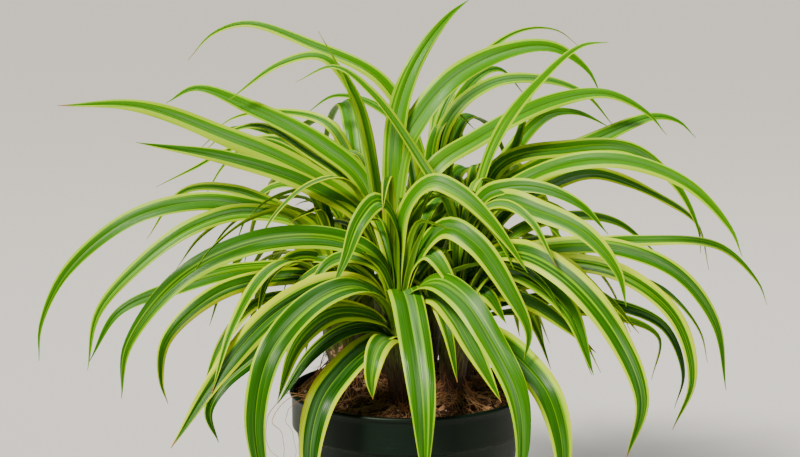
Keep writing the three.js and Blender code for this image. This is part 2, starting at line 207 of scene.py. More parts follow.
# Stage: the camera stands where the photo was taken, a little over a metre away and above the rim
CAMERA_PLACE = (-0.0057, -1.161, 0.427)
CAMERA_TILT = 80.5
CAMERA_LENS = 80
CAMERA_SENSOR = 36
CAMERA_REACH = 60
LIGHTS_AIM = (0, 0, 0.22)
FLOOR_REACH = 20
GLOW_COLOUR = "#e3e5e8"
GLOW_STRENGTH = 0.1


def linear(hex_colour):
    """An sRGB hex colour as linear red, green, blue and alpha."""
    shares = [int(hex_colour[i : i + 2], 16) / 255 for i in (1, 3, 5)]
    return tuple(s / 12.92 if s <= 0.04045 else ((s + 0.055) / 1.055) ** 2.4 for s in shares) + (1.0,)


def colour(name, hex_colour, description):
    """A colour that the user can change."""
    return FloatVectorProperty(
        name=name, description=description, subtype="COLOR", size=4, min=0, max=1, default=linear(hex_colour)
    )


def size(name, millimetres, description):
    """A length that the user can change."""
    return FloatProperty(name=name, description=description, unit="LENGTH", min=0, default=millimetres * MM)


def number_of(name, default, description):
    """A number of like bits that the user can change."""
    return IntProperty(name=name, description=description, min=0, default=default)


def power(name, watts, description):
    """A light's power that the user can change."""
    return FloatProperty(name=name, description=description, unit="POWER", min=0, default=watts)


# The leaves' routes


class Leaf(NamedTuple):
    """A leaf's heading and roll in degrees, its width, and its route as (out, up) points in millimetres."""

    heading: float
    width: float
    roll: float
    route: list


class Crown(NamedTuple):
    """A stem from its foot in the mix to its head, and the leaves that part there."""

    name: str
    foot: tuple
    head: tuple
    leaves: list


def scatter(seed):
    """The same number between -1 and 1 each time for a given seed."""
    modulus = 2147483647
    state = seed * 7919 + 17
    for _ in range(3):
        state = state * 16807 % modulus
    return 2 * state / modulus - 1


# A tiered leaf's route: the shares of its reach and rise at the first point, and of its reach and drop after
# that. At the plant's sides it keeps only a share of its reach. Its reach, rise and roll vary by seed.
RISING = (0.12, 0.62)
FALLING = [(0.36, 0.06), (0.6, 0.1), (0.85, 0.5), (1, 1)]
SIDEWAYS_REACH = 0.5
REACH_VARIES = 0.09
RISE_VARIES = 0.07
ROLL_VARIES = 30
RISE_SEED = 50
ROLL_SEED = 90

# Reach, rise, drop and width of the four tiers of leaves on the side that the viewer doesn't see
TIERS = [(205, 105, 95, 14), (140, 145, 55, 13), (160, 55, 100, 15), (105, 30, 75, 17)]

# The same for the thin leaves that fill the middle of the plant, and the headings that each crown has them at
INNER_TIERS = [
    (42, 88, 6, 8),
    (112, 92, 42, 10),
    (80, 62, 30, 10),
    (95, 36, 60, 11),
    (62, 104, 18, 9),
    (125, 62, 72, 10),
]
INNER_HEADINGS = {
    "front": (-30, 210),
    "front_right": (-35, 120),
    "left": (110, 240),
    "centre": (0, 360),
    "right": (-50, 100),
    "back_left": (60, 220),
    "back_right": (-40, 120),
}
INNER_LEAVES = 12
INNER_SEED = 200
INNER_TURNS = (0, 16, -16, 32, -32, 48, -48)
GOLDEN_SHARE = 0.618
ROUTE_CHECKS = 60

# A pair of young leaves: out, up, and how far one of them stands above and the other below that
YOUNG_ROUTE = [(5, 28, 0), (14, 60, 6), (27, 82, 12)]
YOUNG_WIDTH = 9
YOUNG_TURN = 55


def tiered(head_z, heading, tier, stretch, seed):
    """A leaf of one tier, with a little of its own reach, rise and roll."""
    reach, rise, drop, width = tier
    reach *= stretch * (1 + REACH_VARIES * scatter(seed))
    rise *= 1 + RISE_VARIES * scatter(seed + RISE_SEED)
    route = [(reach * RISING[0], head_z + rise * RISING[1])]
    route += [(reach * out, head_z + rise - drop * dropped) for out, dropped in FALLING]
    return Leaf(heading, width, ROLL_VARIES * scatter(seed + ROLL_SEED), route)


def fan(head_z, start, end, count, seed):
    """Leaves in four tiers in turn, evenly spread from one heading to another."""
    leaves = []
    for i in range(count):
        heading = start + (end - start) * i / (count - 1)
        stretch = SIDEWAYS_REACH + (1 - SIDEWAYS_REACH) * math.sin(math.radians(heading)) ** 2
        leaves.append(tiered(head_z, heading, TIERS[i % len(TIERS)], stretch, seed + i))
    return leaves


def clear_of_stems(crown, leaf):
    """Whether a leaf passes every other crown's stem without touching it."""
    outs, ups = np.array([(0, crown.head[2]), *leaf.route]).T
    at = np.linspace(0, len(outs) - 1, ROUTE_CHECKS)
    out, up = (np.interp(at, range(len(outs)), values) for values in (outs, ups))
    path = np.array(crown.head[:2]) + np.outer(out, polar(1, math.radians(leaf.heading)))
    for other in CROWNS:
        if other is crown:
            continue
        tall = (up - STEM_BOTTOM) / (other.head[2] - STEM_BOTTOM)
        axis = other.foot + np.outer(tall, np.subtract(other.head[:2], other.foot))
        near = np.linalg.norm(path - axis, axis=1) < SHEATH_RADIUS + leaf.width / 2
        if np.any(near & (up < other.head[2] + SHEATH_HEIGHT)):
            return False
    return True


def inner_leaves(crown, number):
    """The thin leaves between a crown's own, spread by the golden share over the headings it has, and each
    turned a little where it would meet another stem."""
    start, end = INNER_HEADINGS[crown.name]
    leaves = []
    for i in range(INNER_LEAVES):
        heading = start + (end - start) * ((i + number / len(CROWNS)) * GOLDEN_SHARE % 1)
        tier = INNER_TIERS[i % len(INNER_TIERS)]
        seed = INNER_SEED + number * INNER_LEAVES + i
        tries = [tiered(crown.head[2], heading + turn, tier, 1, seed) for turn in INNER_TURNS]
        leaves += [leaf for leaf in tries if clear_of_stems(crown, leaf)][:1]
    return leaves


def young_leaves(head_z, heading):
    """Two short upright leaves in the middle of a crown."""
    leaves = []
    for side in (-1, 1):
        route = [(out, head_z + up + apart * side) for out, up, apart in YOUNG_ROUTE]
        leaves.append(Leaf(heading + YOUNG_TURN * side, YOUNG_WIDTH, 0, route))
    return leaves


CROWNS = [
    Crown("front", (-4, -42), (-6, -32, 156), [
        Leaf(193, 16, -60, [(14, 216), (42, 232), (94, 232), (140, 212), (175, 170), (180, 136)]),
        Leaf(215, 17, -55, [(14, 194), (50, 207), (94, 194), (135, 160), (168, 120)]),
        Leaf(226, 17, -35, [(14, 190), (40, 205), (75, 201), (112, 176), (125, 138), (119, 92), (112, 60)]),
        Leaf(222, 13, -45, [(16, 178), (40, 188), (62, 188), (85, 174), (101, 142)]),
        Leaf(217, 10, -45, [(20, 175), (45, 176), (70, 164), (95, 137)]),
        Leaf(231, 20, -25, [(10, 168), (34, 164), (58, 154), (78, 138), (88, 106), (80, 68)]),
        Leaf(250, 16, -15, [(8, 164), (28, 170), (43, 165), (51, 151), (49, 137)]),
        Leaf(-78, 21, 8, [(8, 198), (22, 195), (38, 181), (54, 164), (68, 139), (74, 108), (76, 88)]),
        Leaf(-40, 16, 35, [(14, 190), (30, 197), (46, 186), (60, 168), (83, 137)]),
        Leaf(-47, 18, 35, [(14, 196), (34, 207), (58, 200), (84, 176), (105, 148), (110, 118), (104, 82)]),
        Leaf(-30, 16, 50, [(14, 218), (34, 241), (55, 233), (80, 204), (93, 180), (90, 162)]),
        Leaf(218, 15, -50, [(3, 238), (17, 257), (32, 246), (44, 222), (54, 205)]),
        Leaf(205, 12, -50, [(14, 212), (35, 222), (50, 219), (66, 200)]),
        Leaf(-22, 14, 55, [(4, 248), (22, 269), (40, 264), (60, 248), (76, 230), (87, 215)]),
        Leaf(-38, 14, 40, [(12, 214), (24, 224), (38, 212), (50, 190)]),
        Leaf(42, 15, 15, [(3, 200), (14, 220), (30, 236), (50, 251)]),
        *young_leaves(156, -100),
    ]),
    Crown("front_right", (27, -26), (30, -20, 158), [
        Leaf(178, 11, -30, [(3, 245), (20, 276), (54, 324), (78, 341), (103, 331)]),
        Leaf(-20, 13, 50, [(18, 256), (36, 265), (60, 265), (85, 255), (102, 238)]),
        Leaf(-30, 17, 50, [(12, 236), (33, 256), (60, 252), (92, 241), (115, 218), (121, 197)]),
        Leaf(-42, 9, 40, [(20, 246), (40, 256), (62, 248), (83, 221)]),
        Leaf(-35, 18, 45, [(26, 218), (50, 225), (84, 213), (119, 181), (138, 142), (128, 102)]),
        Leaf(-22, 17, 45, [(24, 210), (46, 210), (76, 190), (95, 147)]),
        Leaf(-8, 14, 35, [(28, 192), (50, 187), (75, 171), (93, 156)]),
        Leaf(-44, 8, 40, [(8, 196), (17, 197), (26, 185)]),
        Leaf(-30, 14, 40, [(10, 192), (22, 195), (38, 177)]),
        Leaf(-50, 19, 35, [(20, 172), (40, 168), (62, 160), (88, 142), (101, 110), (98, 72)]),
        Leaf(-14, 8, 25, [(8, 204), (25, 207), (44, 200)]),
        Leaf(-4, 10, 40, [(18, 218), (42, 226), (66, 216), (84, 194)]),
        *young_leaves(158, -50),
    ]),
    Crown("left", (-38, -5), (-46, -4, 158), [
        Leaf(172, 8, -60, [(10, 234), (31, 243), (70, 258), (105, 256), (131, 223)]),
        Leaf(183, 13, -60, [(13, 232), (50, 246), (90, 252), (138, 240), (179, 206), (197, 170), (199, 146)]),
        Leaf(191, 12, -60, [(18, 232), (60, 246), (95, 238), (128, 216), (158, 183), (166, 145)]),
        Leaf(202, 13, -50, [(10, 197), (45, 203), (84, 196), (118, 168), (122, 142), (118, 126)]),
        Leaf(193, 12, -50, [(15, 201), (60, 208), (105, 199), (145, 184), (165, 152)]),
        Leaf(170, 5, -40, [(4, 226), (9, 240), (22, 246)]),
        Leaf(165, 6, -20, [(3, 222), (5, 246)]),
        Leaf(212, 9, -50, [(11, 212), (32, 218), (52, 207), (62, 179)]),
        Leaf(215, 12, -50, [(15, 170), (40, 169), (69, 154), (90, 140), (100, 124), (93, 103)]),
        *young_leaves(158, 180),
    ]),
    Crown("centre", (-10, 6), (-12, 8, 172), [
        Leaf(185, 12, -40, [(12, 271), (25, 322), (45, 345), (72, 341), (106, 318)]),
        Leaf(193, 8, 0, [(14, 260), (22, 303), (34, 338), (48, 363)]),
        Leaf(195, 16, -60, [(18, 240), (57, 271), (110, 296), (165, 317), (216, 319)]),
        Leaf(203, 14, -60, [(20, 236), (60, 264), (110, 283), (172, 297)]),
        Leaf(180, 15, -60, [(17, 260), (47, 288), (90, 311), (128, 325), (148, 315)]),
        Leaf(175, 8, -50, [(22, 254), (56, 282), (85, 299), (108, 295), (126, 281)]),
        Leaf(30, 15, 60, [(4, 300), (13, 330), (26, 351), (46, 372), (61, 382)]),
        Leaf(15, 16, 60, [(6, 278), (18, 303), (42, 330), (80, 348), (113, 350), (138, 334), (148, 317)]),
        Leaf(13, 13, 60, [(26, 266), (60, 290), (110, 313), (150, 318), (180, 304), (194, 289)]),
        *young_leaves(172, -70),
    ]),
    Crown("right", (33, 15), (38, 18, 162), [
        Leaf(-24, 14, 50, [(11, 258), (28, 300), (53, 331), (80, 354), (98, 357)]),
        Leaf(20, 14, 55, [(14, 244), (57, 270), (99, 287), (141, 300), (160, 296), (174, 284)]),
        Leaf(-15, 13, 60, [(20, 245), (53, 270), (102, 279), (147, 265), (176, 237), (184, 219)]),
        Leaf(5, 12, 60, [(21, 270), (68, 283), (112, 282), (143, 258), (160, 226), (162, 210)]),
        Leaf(30, 12, 50, [(26, 232), (71, 255), (104, 260), (150, 245), (200, 215), (212, 181)]),
        Leaf(0, 10, 45, [(26, 206), (64, 216), (115, 221), (171, 217), (198, 193), (205, 177)]),
        Leaf(-20, 13, 55, [(28, 202), (68, 211), (109, 205), (144, 179), (156, 139), (144, 104)]),
        Leaf(-8, 13, 55, [(22, 208), (51, 217), (100, 219), (140, 204), (167, 171), (176, 124)]),
        Leaf(12, 8, 40, [(40, 196), (80, 201), (116, 192), (144, 180), (170, 150), (176, 128)]),
        Leaf(-3, 10, 45, [(28, 178), (64, 182), (101, 178), (135, 163), (148, 131), (143, 107)]),
        Leaf(40, 11, 45, [(28, 260), (52, 287), (76, 301), (105, 301), (142, 287)]),
        Leaf(26, 11, 20, [(22, 260), (38, 281), (47, 310), (56, 330)]),
        Leaf(-12, 9, 45, [(26, 188), (60, 194), (95, 186), (118, 163)]),
        Leaf(8, 10, 45, [(30, 222), (70, 236), (105, 231), (135, 208)]),
        Leaf(5, 8, 45, [(50, 172), (100, 168), (134, 152), (130, 122)]),
        *young_leaves(162, 10),
    ]),
    Crown("back_left", (-25, 37), (-30, 42, 160), [
        Leaf(155, 8, -50, [(7, 260), (27, 296), (72, 303), (103, 297), (119, 287)]),
        Leaf(168, 7, -50, [(20, 254), (62, 286), (97, 277), (122, 264), (150, 250)]),
        Leaf(146, 5, -40, [(35, 260), (85, 287), (123, 286), (150, 268)]),
        Leaf(178, 7, -40, [(28, 258), (70, 286), (94, 271), (111, 245)]),
        Leaf(187, 8, -40, [(21, 240), (53, 257), (73, 249), (88, 218)]),
        *fan(160, 98, 142, 8, 5),
        *young_leaves(160, 125),
    ]),
    Crown("back_right", (12, 42), (14, 48, 160), [
        Leaf(172, 11, -50, [(8, 278), (34, 327), (82, 350), (125, 364), (150, 357), (168, 339)]),
        Leaf(168, 8, -50, [(18, 290), (38, 309), (66, 315), (87, 302)]),
        Leaf(35, 6, 40, [(9, 300), (46, 342), (80, 358), (113, 357), (132, 346)]),
        Leaf(14, 11, 50, [(12, 296), (43, 323), (80, 326), (112, 315), (135, 291)]),
        Leaf(28, 12, 40, [(3, 282), (10, 297), (19, 304), (37, 291)]),
        Leaf(48, 10, 45, [(18, 288), (45, 322), (76, 330), (108, 308)]),
        *fan(160, 50, 90, 8, 31),
        *young_leaves(160, 72),
    ]),
]


# Shapes


class Shape:
    """The parts of one piece, in millimetres, with what its material reads at each vertex: place and grain,
    three numbers each, and fresh, one number."""

    def __init__(self):
        self.vertices = []
        self.place = []
        self.grain = []
        self.fresh = []
        self.faces = []
        self.slots = []
        self.corners = []
        self.count = 0

    def add(self, vertices, faces, slots=0, place=(0, 0, 0), grain=(0, 0, 0), fresh=0, corners=None):
        """Adds a part. slots numbers the material of all its faces or of each one, and corners gives each
        face corner's place in the texture."""
        vertices = np.asarray(vertices, float)
        self.vertices.append(vertices)
        self.place.append(np.broadcast_to(place, vertices.shape))
        self.grain.append(np.broadcast_to(grain, vertices.shape))
        self.fresh.append(np.full(len(vertices), fresh))
        self.faces += [tuple(v + self.count for v in face) for face in faces]
        self.slots.append(np.broadcast_to(slots, len(faces)))
        if corners is not None:
            self.corners.append(corners)
        self.count += len(vertices)

    def mesh(self, name):
        """The parts as one bare mesh, in metres."""
        mesh = bpy.data.meshes.new(name)
        mesh.from_pydata(np.concatenate(self.vertices) * MM, [], self.faces)
        return mesh

    def make(self, name, materials, node, sharp=50):
        """Links the shape as a piece that rides on the root body and stands for a node."""
        mesh = self.mesh(name)
        for material in materials:
            mesh.materials.append(material)
        mesh.polygons.foreach_set("material_index", np.concatenate(self.slots).astype(np.int32))
        for kind, form, entry, values in (
            ("place", "FLOAT_VECTOR", "vector", self.place),
            ("grain", "FLOAT_VECTOR", "vector", self.grain),
            ("fresh", "FLOAT", "value", self.fresh),
        ):
            attribute = mesh.attributes.new(kind, form, "POINT")
            attribute.data.foreach_set(entry, np.concatenate(values).astype(np.float32).ravel())
        if self.corners:
            layer = mesh.uv_layers.new(name="OFBake")
            layer.data.foreach_set("uv", np.concatenate(self.corners).astype(np.float32).ravel())
        mesh.shade_smooth()
        mesh.set_sharp_from_angle(angle=math.radians(sharp))
        mesh.update()
        piece = bpy.data.objects.new(name, mesh)
        bpy.context.scene.collection.objects.link(piece)
        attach(piece, "root")
        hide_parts(node)
        return piece


def smoothstep(value, low, high):
    """0 below low, 1 above high, and a smooth rise between them."""
    share = np.clip((value - low) / (high - low), 0, 1)
    return share * share * (3 - 2 * share)


def unit(vectors):
    """The same directions with length 1."""
    return vectors / np.linalg.norm(vectors, axis=-1, keepdims=True)


def polar(out, turn):
    """The point (x, y) that lies so far out, in a direction in radians."""
    return out * math.cos(turn), out * math.sin(turn)


def rows_of(*columns):
    """One row for each point, from columns that are given point by point or once for all."""
    return np.stack(np.broadcast_arrays(*columns), axis=-1)


def smooth_path(points, count, fine=40):
    """Evenly spaced points on a centripetal Catmull-Rom curve through the given ones, and its length."""
    points = np.array(points, float)
    points = np.vstack([2 * points[0] - points[1], points, 2 * points[-1] - points[-2]])
    dense = []
    for p0, p1, p2, p3 in zip(points, points[1:], points[2:], points[3:]):
        d0, d1, d2 = (np.sqrt(np.linalg.norm(b - a)) for a, b in ((p0, p1), (p1, p2), (p2, p3)))
        leave = ((p1 - p0) / d0 - (p2 - p0) / (d0 + d1) + (p2 - p1) / d1) * d1
        arrive = ((p2 - p1) / d1 - (p3 - p1) / (d1 + d2) + (p3 - p2) / d2) * d1
        t = np.linspace(0, 1, fine, endpoint=False)[:, None]
        cubic = 2 * p1 - 2 * p2 + leave + arrive
        square = -3 * p1 + 3 * p2 - 2 * leave - arrive
        dense.append(p1 + t * (leave + t * (square + t * cubic)))
    dense = np.vstack([*dense, points[-2]])
    run = np.concatenate([[0], np.cumsum(np.linalg.norm(np.diff(dense, axis=0), axis=1))])
    at = np.linspace(0, run[-1], count)
    return rows_of(*(np.interp(at, run, dense[:, i]) for i in range(3))), run[-1]


def rings(count, sides):
    """The numbers of the points on some rings, and the quads from each ring to the next."""
    grid = np.arange(count * sides).reshape(count, sides)
    after = np.roll(grid, -1, axis=1)
    return grid, np.stack([grid[:-1], after[:-1], after[1:], grid[1:]], axis=2).reshape(-1, 4)


def turned(profile, sides):
    """A closed profile of (radius, height) points that starts and ends on the axis, turned about +Z."""
    profile = np.array(profile, float)
    turn = np.linspace(0, 2 * math.pi, sides, endpoint=False)
    radii, heights = profile[1:-1, :1], profile[1:-1, 1:]
    ring = rows_of(radii * np.cos(turn), radii * np.sin(turn), heights)
    vertices = np.vstack([ring.reshape(-1, 3), [0, 0, profile[0, 1]], [0, 0, profile[-1, 1]]])
    grid, quads = rings(len(radii), sides)
    low, high = len(vertices) - 2, len(vertices) - 1
    faces = quads.tolist()
    faces += [(low, b, a) for a, b in zip(grid[0], np.roll(grid[0], -1))]
    faces += [(high, a, b) for a, b in zip(grid[-1], np.roll(grid[-1], -1))]
    return vertices, faces


# The direction that the first side of a rod is turned from. No path here follows it.
SLANT = (0.31, 0.87, 0.38)


def tube(path, radii, sides):
    """A round rod along a path, closed at both ends."""
    along = unit(np.gradient(path, axis=0))
    beside = unit(np.cross(along, SLANT))
    above = np.cross(beside, along)
    turn = np.linspace(0, 2 * math.pi, sides, endpoint=False)[:, None]
    radii = np.broadcast_to(radii, len(path))[:, None, None]
    points = path[:, None] + radii * (np.cos(turn) * beside[:, None] + np.sin(turn) * above[:, None])
    grid, quads = rings(len(path), sides)
    faces = quads[:, [0, 3, 2, 1]].tolist()
    faces += [tuple(grid[0]), tuple(grid[-1][::-1])]
    return points.reshape(-1, 3), faces


# The sides that a face of a closed sheet can be on
UPPER, UNDER, END = range(3)


def closed_sheet(middle, offset):
    """A thin closed shell round a grid of points. offset lifts its two faces, and is none at the side edges.
    It returns the vertices, each one's row and column, the faces and the side of each face."""
    rows, columns = middle.shape[:2]
    vertices = np.vstack([(middle + offset).reshape(-1, 3), (middle - offset)[:, 1:-1].reshape(-1, 3)])
    upper = np.arange(rows * columns).reshape(rows, columns)
    under = upper.copy()
    under[:, 1:-1] = rows * columns + np.arange(rows * (columns - 2)).reshape(rows, columns - 2)
    spots = np.stack(np.meshgrid(np.arange(rows), np.arange(columns), indexing="ij"), axis=2)
    spots = np.vstack([spots.reshape(-1, 2), spots[:, 1:-1].reshape(-1, 2)])
    quads = [
        np.stack([grid[:-1, :-1], grid[1:, :-1], grid[1:, 1:], grid[:-1, 1:]], axis=2).reshape(-1, 4)
        for grid in (upper, under)
    ]
    faces = quads[0].tolist() + quads[1][:, ::-1].tolist()
    sides = [UPPER] * len(quads[0]) + [UNDER] * len(quads[1])
    for row, turn in ((0, 1), (-1, -1)):
        for j in range(columns - 1):
            loop = [upper[row, j], upper[row, j + 1], under[row, j + 1], under[row, j]]
            faces.append(list(dict.fromkeys(loop))[::turn])
            sides.append(END)
    return vertices, spots, faces, np.array(sides)


# Materials


def add_node(tree, kind, inputs=None, out=0, **settings):
    """Adds a shader node, sets it and its inputs, and returns one of its outputs. An input, by name or
    number, takes another node's output or a value. By number, a Map Range has its value at 0, the range that
    it comes from at 1 and 2 and the one that it goes to at 3 and 4, and a Mix has its share at 0 and its
    colours at 6 and 7."""
    made = tree.nodes.new("ShaderNode" + kind)
    for name, value in settings.items():
        setattr(made, name, value)
    for name, value in (inputs or {}).items():
        if isinstance(value, bpy.types.NodeSocket):
            tree.links.new(value, made.inputs[name])
        else:
            made.inputs[name].default_value = value
    return made.outputs[out] if made.outputs else None


# The settings of a Mix that mixes colours, and of a Map Range that starts and ends softly
COLOURS = {"out": 2, "data_type": "RGBA"}
SOFT = {"interpolation_type": "SMOOTHSTEP"}


def blank_material(name):
    """A new material with no nodes, and add_node for it."""
    material = bpy.data.materials.new(name)
    material.use_nodes = True
    material.node_tree.nodes.clear()
    return material, functools.partial(add_node, material.node_tree)


def spaced(*millimetres):
    """The scale, or the scales along X, Y and Z, that give a pattern in metres the real size of its parts."""
    scales = [1 / (apart * MM) for apart in millimetres]
    return scales if len(scales) > 1 else scales[0]


def waxy_leaf(name, leaf, under):
    """Living leaf with a smooth waxy skin. The wax gives broad soft highlights that break into streaks along
    the parallel veins, the middle is green and the margins lack green and show yellow to cream."""
    material, add = blank_material(name)
    place = add("Attribute", attribute_name="place", out="Vector")
    grain = add("Attribute", attribute_name="grain", out="Vector")
    across, along, tone = add("SeparateXYZ", {0: place}).node.outputs
    wide_mm, run_mm, seed = add("SeparateXYZ", {0: grain}).node.outputs
    fresh = add("Attribute", attribute_name="fresh", out="Fac")
    edge = add("Math", {0: across}, operation="ABSOLUTE")

    # Streaks 0.9 mm wide and 50 mm long follow the veins.
    streak_x = add("Math", {0: wide_mm, 1: 1 / 0.91, 2: seed}, operation="MULTIPLY_ADD")
    streak_y = add("Math", {0: run_mm, 1: 1 / 50}, operation="MULTIPLY")
    streak_at = add("CombineXYZ", {0: streak_x, 1: streak_y, 2: seed})
    streak = add("TexNoise", {"Vector": streak_at, "Scale": 1.0, "Detail": 2.0, "Roughness": 0.55})

    # The margin's inner line wanders a little over about 80 mm, differently on each side.
    side = add("Math", {0: across}, operation="SIGN")
    side_x = add("Math", {0: side, 1: 3.7, 2: seed}, operation="MULTIPLY_ADD")
    wander_y = add("Math", {0: run_mm, 1: 1 / 83}, operation="MULTIPLY")
    wander_at = add("CombineXYZ", {0: side_x, 1: wander_y, 2: seed})
    wander = add("TexNoise", {"Vector": wander_at, "Scale": 1.0, "Detail": 1.0})
    from_line = add("Math", {0: wander, 1: -0.36, 2: edge}, operation="MULTIPLY_ADD")

    # One margin is broader than the other, by up to an eighth of the half width each way.
    bias_turn = add("Math", {0: seed, 1: 2.3}, operation="MULTIPLY")
    bias = add("Math", {0: bias_turn}, operation="SINE")
    bias_side = add("Math", {0: bias, 1: side}, operation="MULTIPLY")
    uneven = add("Math", {0: bias_side, 1: 0.13, 2: from_line}, operation="MULTIPLY_ADD")

    # A leaf's own tone, its root and its freshness broaden both margins, and the streaks fray them.
    toned = add("Math", {0: tone, 1: 0.36, 2: uneven}, operation="MULTIPLY_ADD")
    broad = add("MapRange", {0: along, 1: 0.7, 2: 0.1, 3: 0.16, 4: 0.28}, **SOFT)
    broader = add("Math", {0: broad, 1: fresh, 2: toned}, operation="MULTIPLY_ADD")
    ragged = add("Math", {0: streak, 1: 0.08, 2: broader}, operation="MULTIPLY_ADD")
    inside_margin = add("Math", {0: ragged, 1: 0.8}, operation="SUBTRACT")
    margin = add("MapRange", {0: inside_margin, 1: -0.02, 2: 0.025}, **SOFT)

    # One or two pale stripes in the green, 1 to 2 mm wide and some 250 mm long.
    stripe_x = add("Math", {0: across, 1: 3.4, 2: seed}, operation="MULTIPLY_ADD")
    stripe_y = add("Math", {0: run_mm, 1: 1 / 250}, operation="MULTIPLY")
    stripe_at = add("CombineXYZ", {0: stripe_x, 1: stripe_y, 2: 5.3})
    stripe_noise = add("TexNoise", {"Vector": stripe_at, "Scale": 1.0, "Detail": 1.0})
    stripe = add("MapRange", {0: stripe_noise, 1: 0.58, 2: 0.7, 4: 0.55}, **SOFT)

    # About 18 parallel veins, drawn a little coarser than the real 0.7 mm so that they show.
    vein_turn = add("Math", {0: across, 1: math.tau * 8.9}, operation="MULTIPLY")
    vein = add("Math", {0: vein_turn}, operation="SINE")
    vein_share = add("MapRange", {0: vein, 1: -1.0, 2: 1.0, 4: 0.22})

    greens = add("MapRange", {0: streak, 1: 0.3, 2: 0.72})
    deep = add("Mix", {0: greens, 6: leaf.dark_green, 7: leaf.green}, **COLOURS)
    freshness = add("Math", {0: fresh, 1: 0.62}, operation="MULTIPLY")
    middle = add("Mix", {0: freshness, 6: deep, 7: leaf.fresh_green}, **COLOURS)
    veined = add("Mix", {0: vein_share, 6: middle, 7: leaf.dark_green}, **COLOURS)
    striped = add("Mix", {0: stripe, 6: veined, 7: leaf.stripe}, **COLOURS)
    rib = add("MapRange", {0: edge, 1: 0.05, 2: 0.015, 4: 0.45}, **SOFT)
    ribbed = add("Mix", {0: rib, 6: striped, 7: leaf.stripe}, **COLOURS)

    # Painted sheen, partly a real pale wax bloom: a silvery highlight of the wax is painted into the colour
    # in streaks beside the midrib, more on one side, away from root and tip.
    near_rib = add("MapRange", {0: edge, 1: 0.55, 2: 0.2}, **SOFT)
    past_root = add("MapRange", {0: along, 1: 0.12, 2: 0.4}, **SOFT)
    before_tip = add("MapRange", {0: along, 1: 0.95, 2: 0.65}, **SOFT)
    sheen_side = add("MapRange", {0: wander, 1: 0.45, 2: 0.65, 4: 0.6})
    painted_sheen = add("MapRange", {0: streak, 1: 0.2, 2: 0.7})
    for share in (near_rib, past_root, before_tip, sheen_side):
        painted_sheen = add("Math", {0: painted_sheen, 1: share}, operation="MULTIPLY")
    with_painted_sheen = add("Mix", {0: painted_sheen, 6: ribbed, 7: leaf.painted_sheen}, **COLOURS)

    # Margins pale to cream towards the edge, more in some leaves and less in fresh ones.
    creamy = add("MapRange", {0: inside_margin, 1: 0.03, 2: 0.2})
    cream_share = add("MapRange", {0: tone, 1: 0.1, 2: 0.8, 3: 0.05, 4: 0.7})
    grown_up = add("Math", {0: fresh, 1: -0.8, 2: 1.0}, operation="MULTIPLY_ADD")
    cream_most = add("Math", {0: cream_share, 1: grown_up}, operation="MULTIPLY")
    cream_amount = add("Math", {0: creamy, 1: cream_most}, operation="MULTIPLY")
    margin_colour = add("Mix", {0: cream_amount, 6: leaf.lime, 7: leaf.cream}, **COLOURS)

    # Thin green lines run through the margins here and there.
    line = add("MapRange", {0: streak, 1: 0.57, 2: 0.66, 4: 0.55}, **SOFT)
    lined = add("Mix", {0: line, 6: margin_colour, 7: leaf.fresh_green}, **COLOURS)
    painted = add("Mix", {0: margin, 6: with_painted_sheen, 7: lined}, **COLOURS)

    # Near its root a leaf is yellow green all over, and a fresh upright one up to half its length.
    young_reach = add("Math", {0: fresh, 1: 0.36, 2: 0.18}, operation="MULTIPLY_ADD")
    young = add("MapRange", {0: along, 1: young_reach, 2: 0.03, 4: 0.8}, **SOFT)
    grown = add("Mix", {0: young, 6: painted, 7: leaf.young}, **COLOURS)

    # Some tips have dried to light brown over the last few millimetres.
    tip = add("MapRange", {0: along, 1: 0.965, 2: 0.99}, **SOFT)
    dries = add("Math", {0: tone, 1: 0.62}, operation="GREATER_THAN")
    dry = add("Math", {0: tip, 1: dries}, operation="MULTIPLY")
    tipped = add("Mix", {0: dry, 6: grown, 7: leaf.dry_tip}, **COLOURS)

    # The underside is paler and duller. Streaks, veins and the groove over the midrib stand in low relief.
    pale = add("Mix", {0: 0.4 if under else 0.0, 6: tipped, 7: leaf.underside}, **COLOURS)
    rough = add("MapRange", {0: streak, 1: 0.3, 2: 0.7, 3: 0.24, 4: 0.38})
    rougher = add("Math", {0: rough, 1: 0.16 if under else 0.0}, operation="ADD")
    groove = add("MapRange", {0: edge, 1: 0.0, 2: 0.09}, **SOFT)
    ridges = add("Math", {0: vein, 1: 0.3, 2: groove}, operation="MULTIPLY_ADD")
    height = add("Math", {0: streak, 1: 0.8, 2: ridges}, operation="MULTIPLY_ADD")
    normal = add("Bump", {"Strength": 0.35, "Distance": 0.3 * MM, "Height": height})
    surface = add(
        "BsdfPrincipled",
        {"Base Color": pale, "Roughness": rougher, "IOR": 1.45, "Specular IOR Level": 0.2, "Normal": normal},
    )
    add("OutputMaterial", {"Surface": surface})
    return material


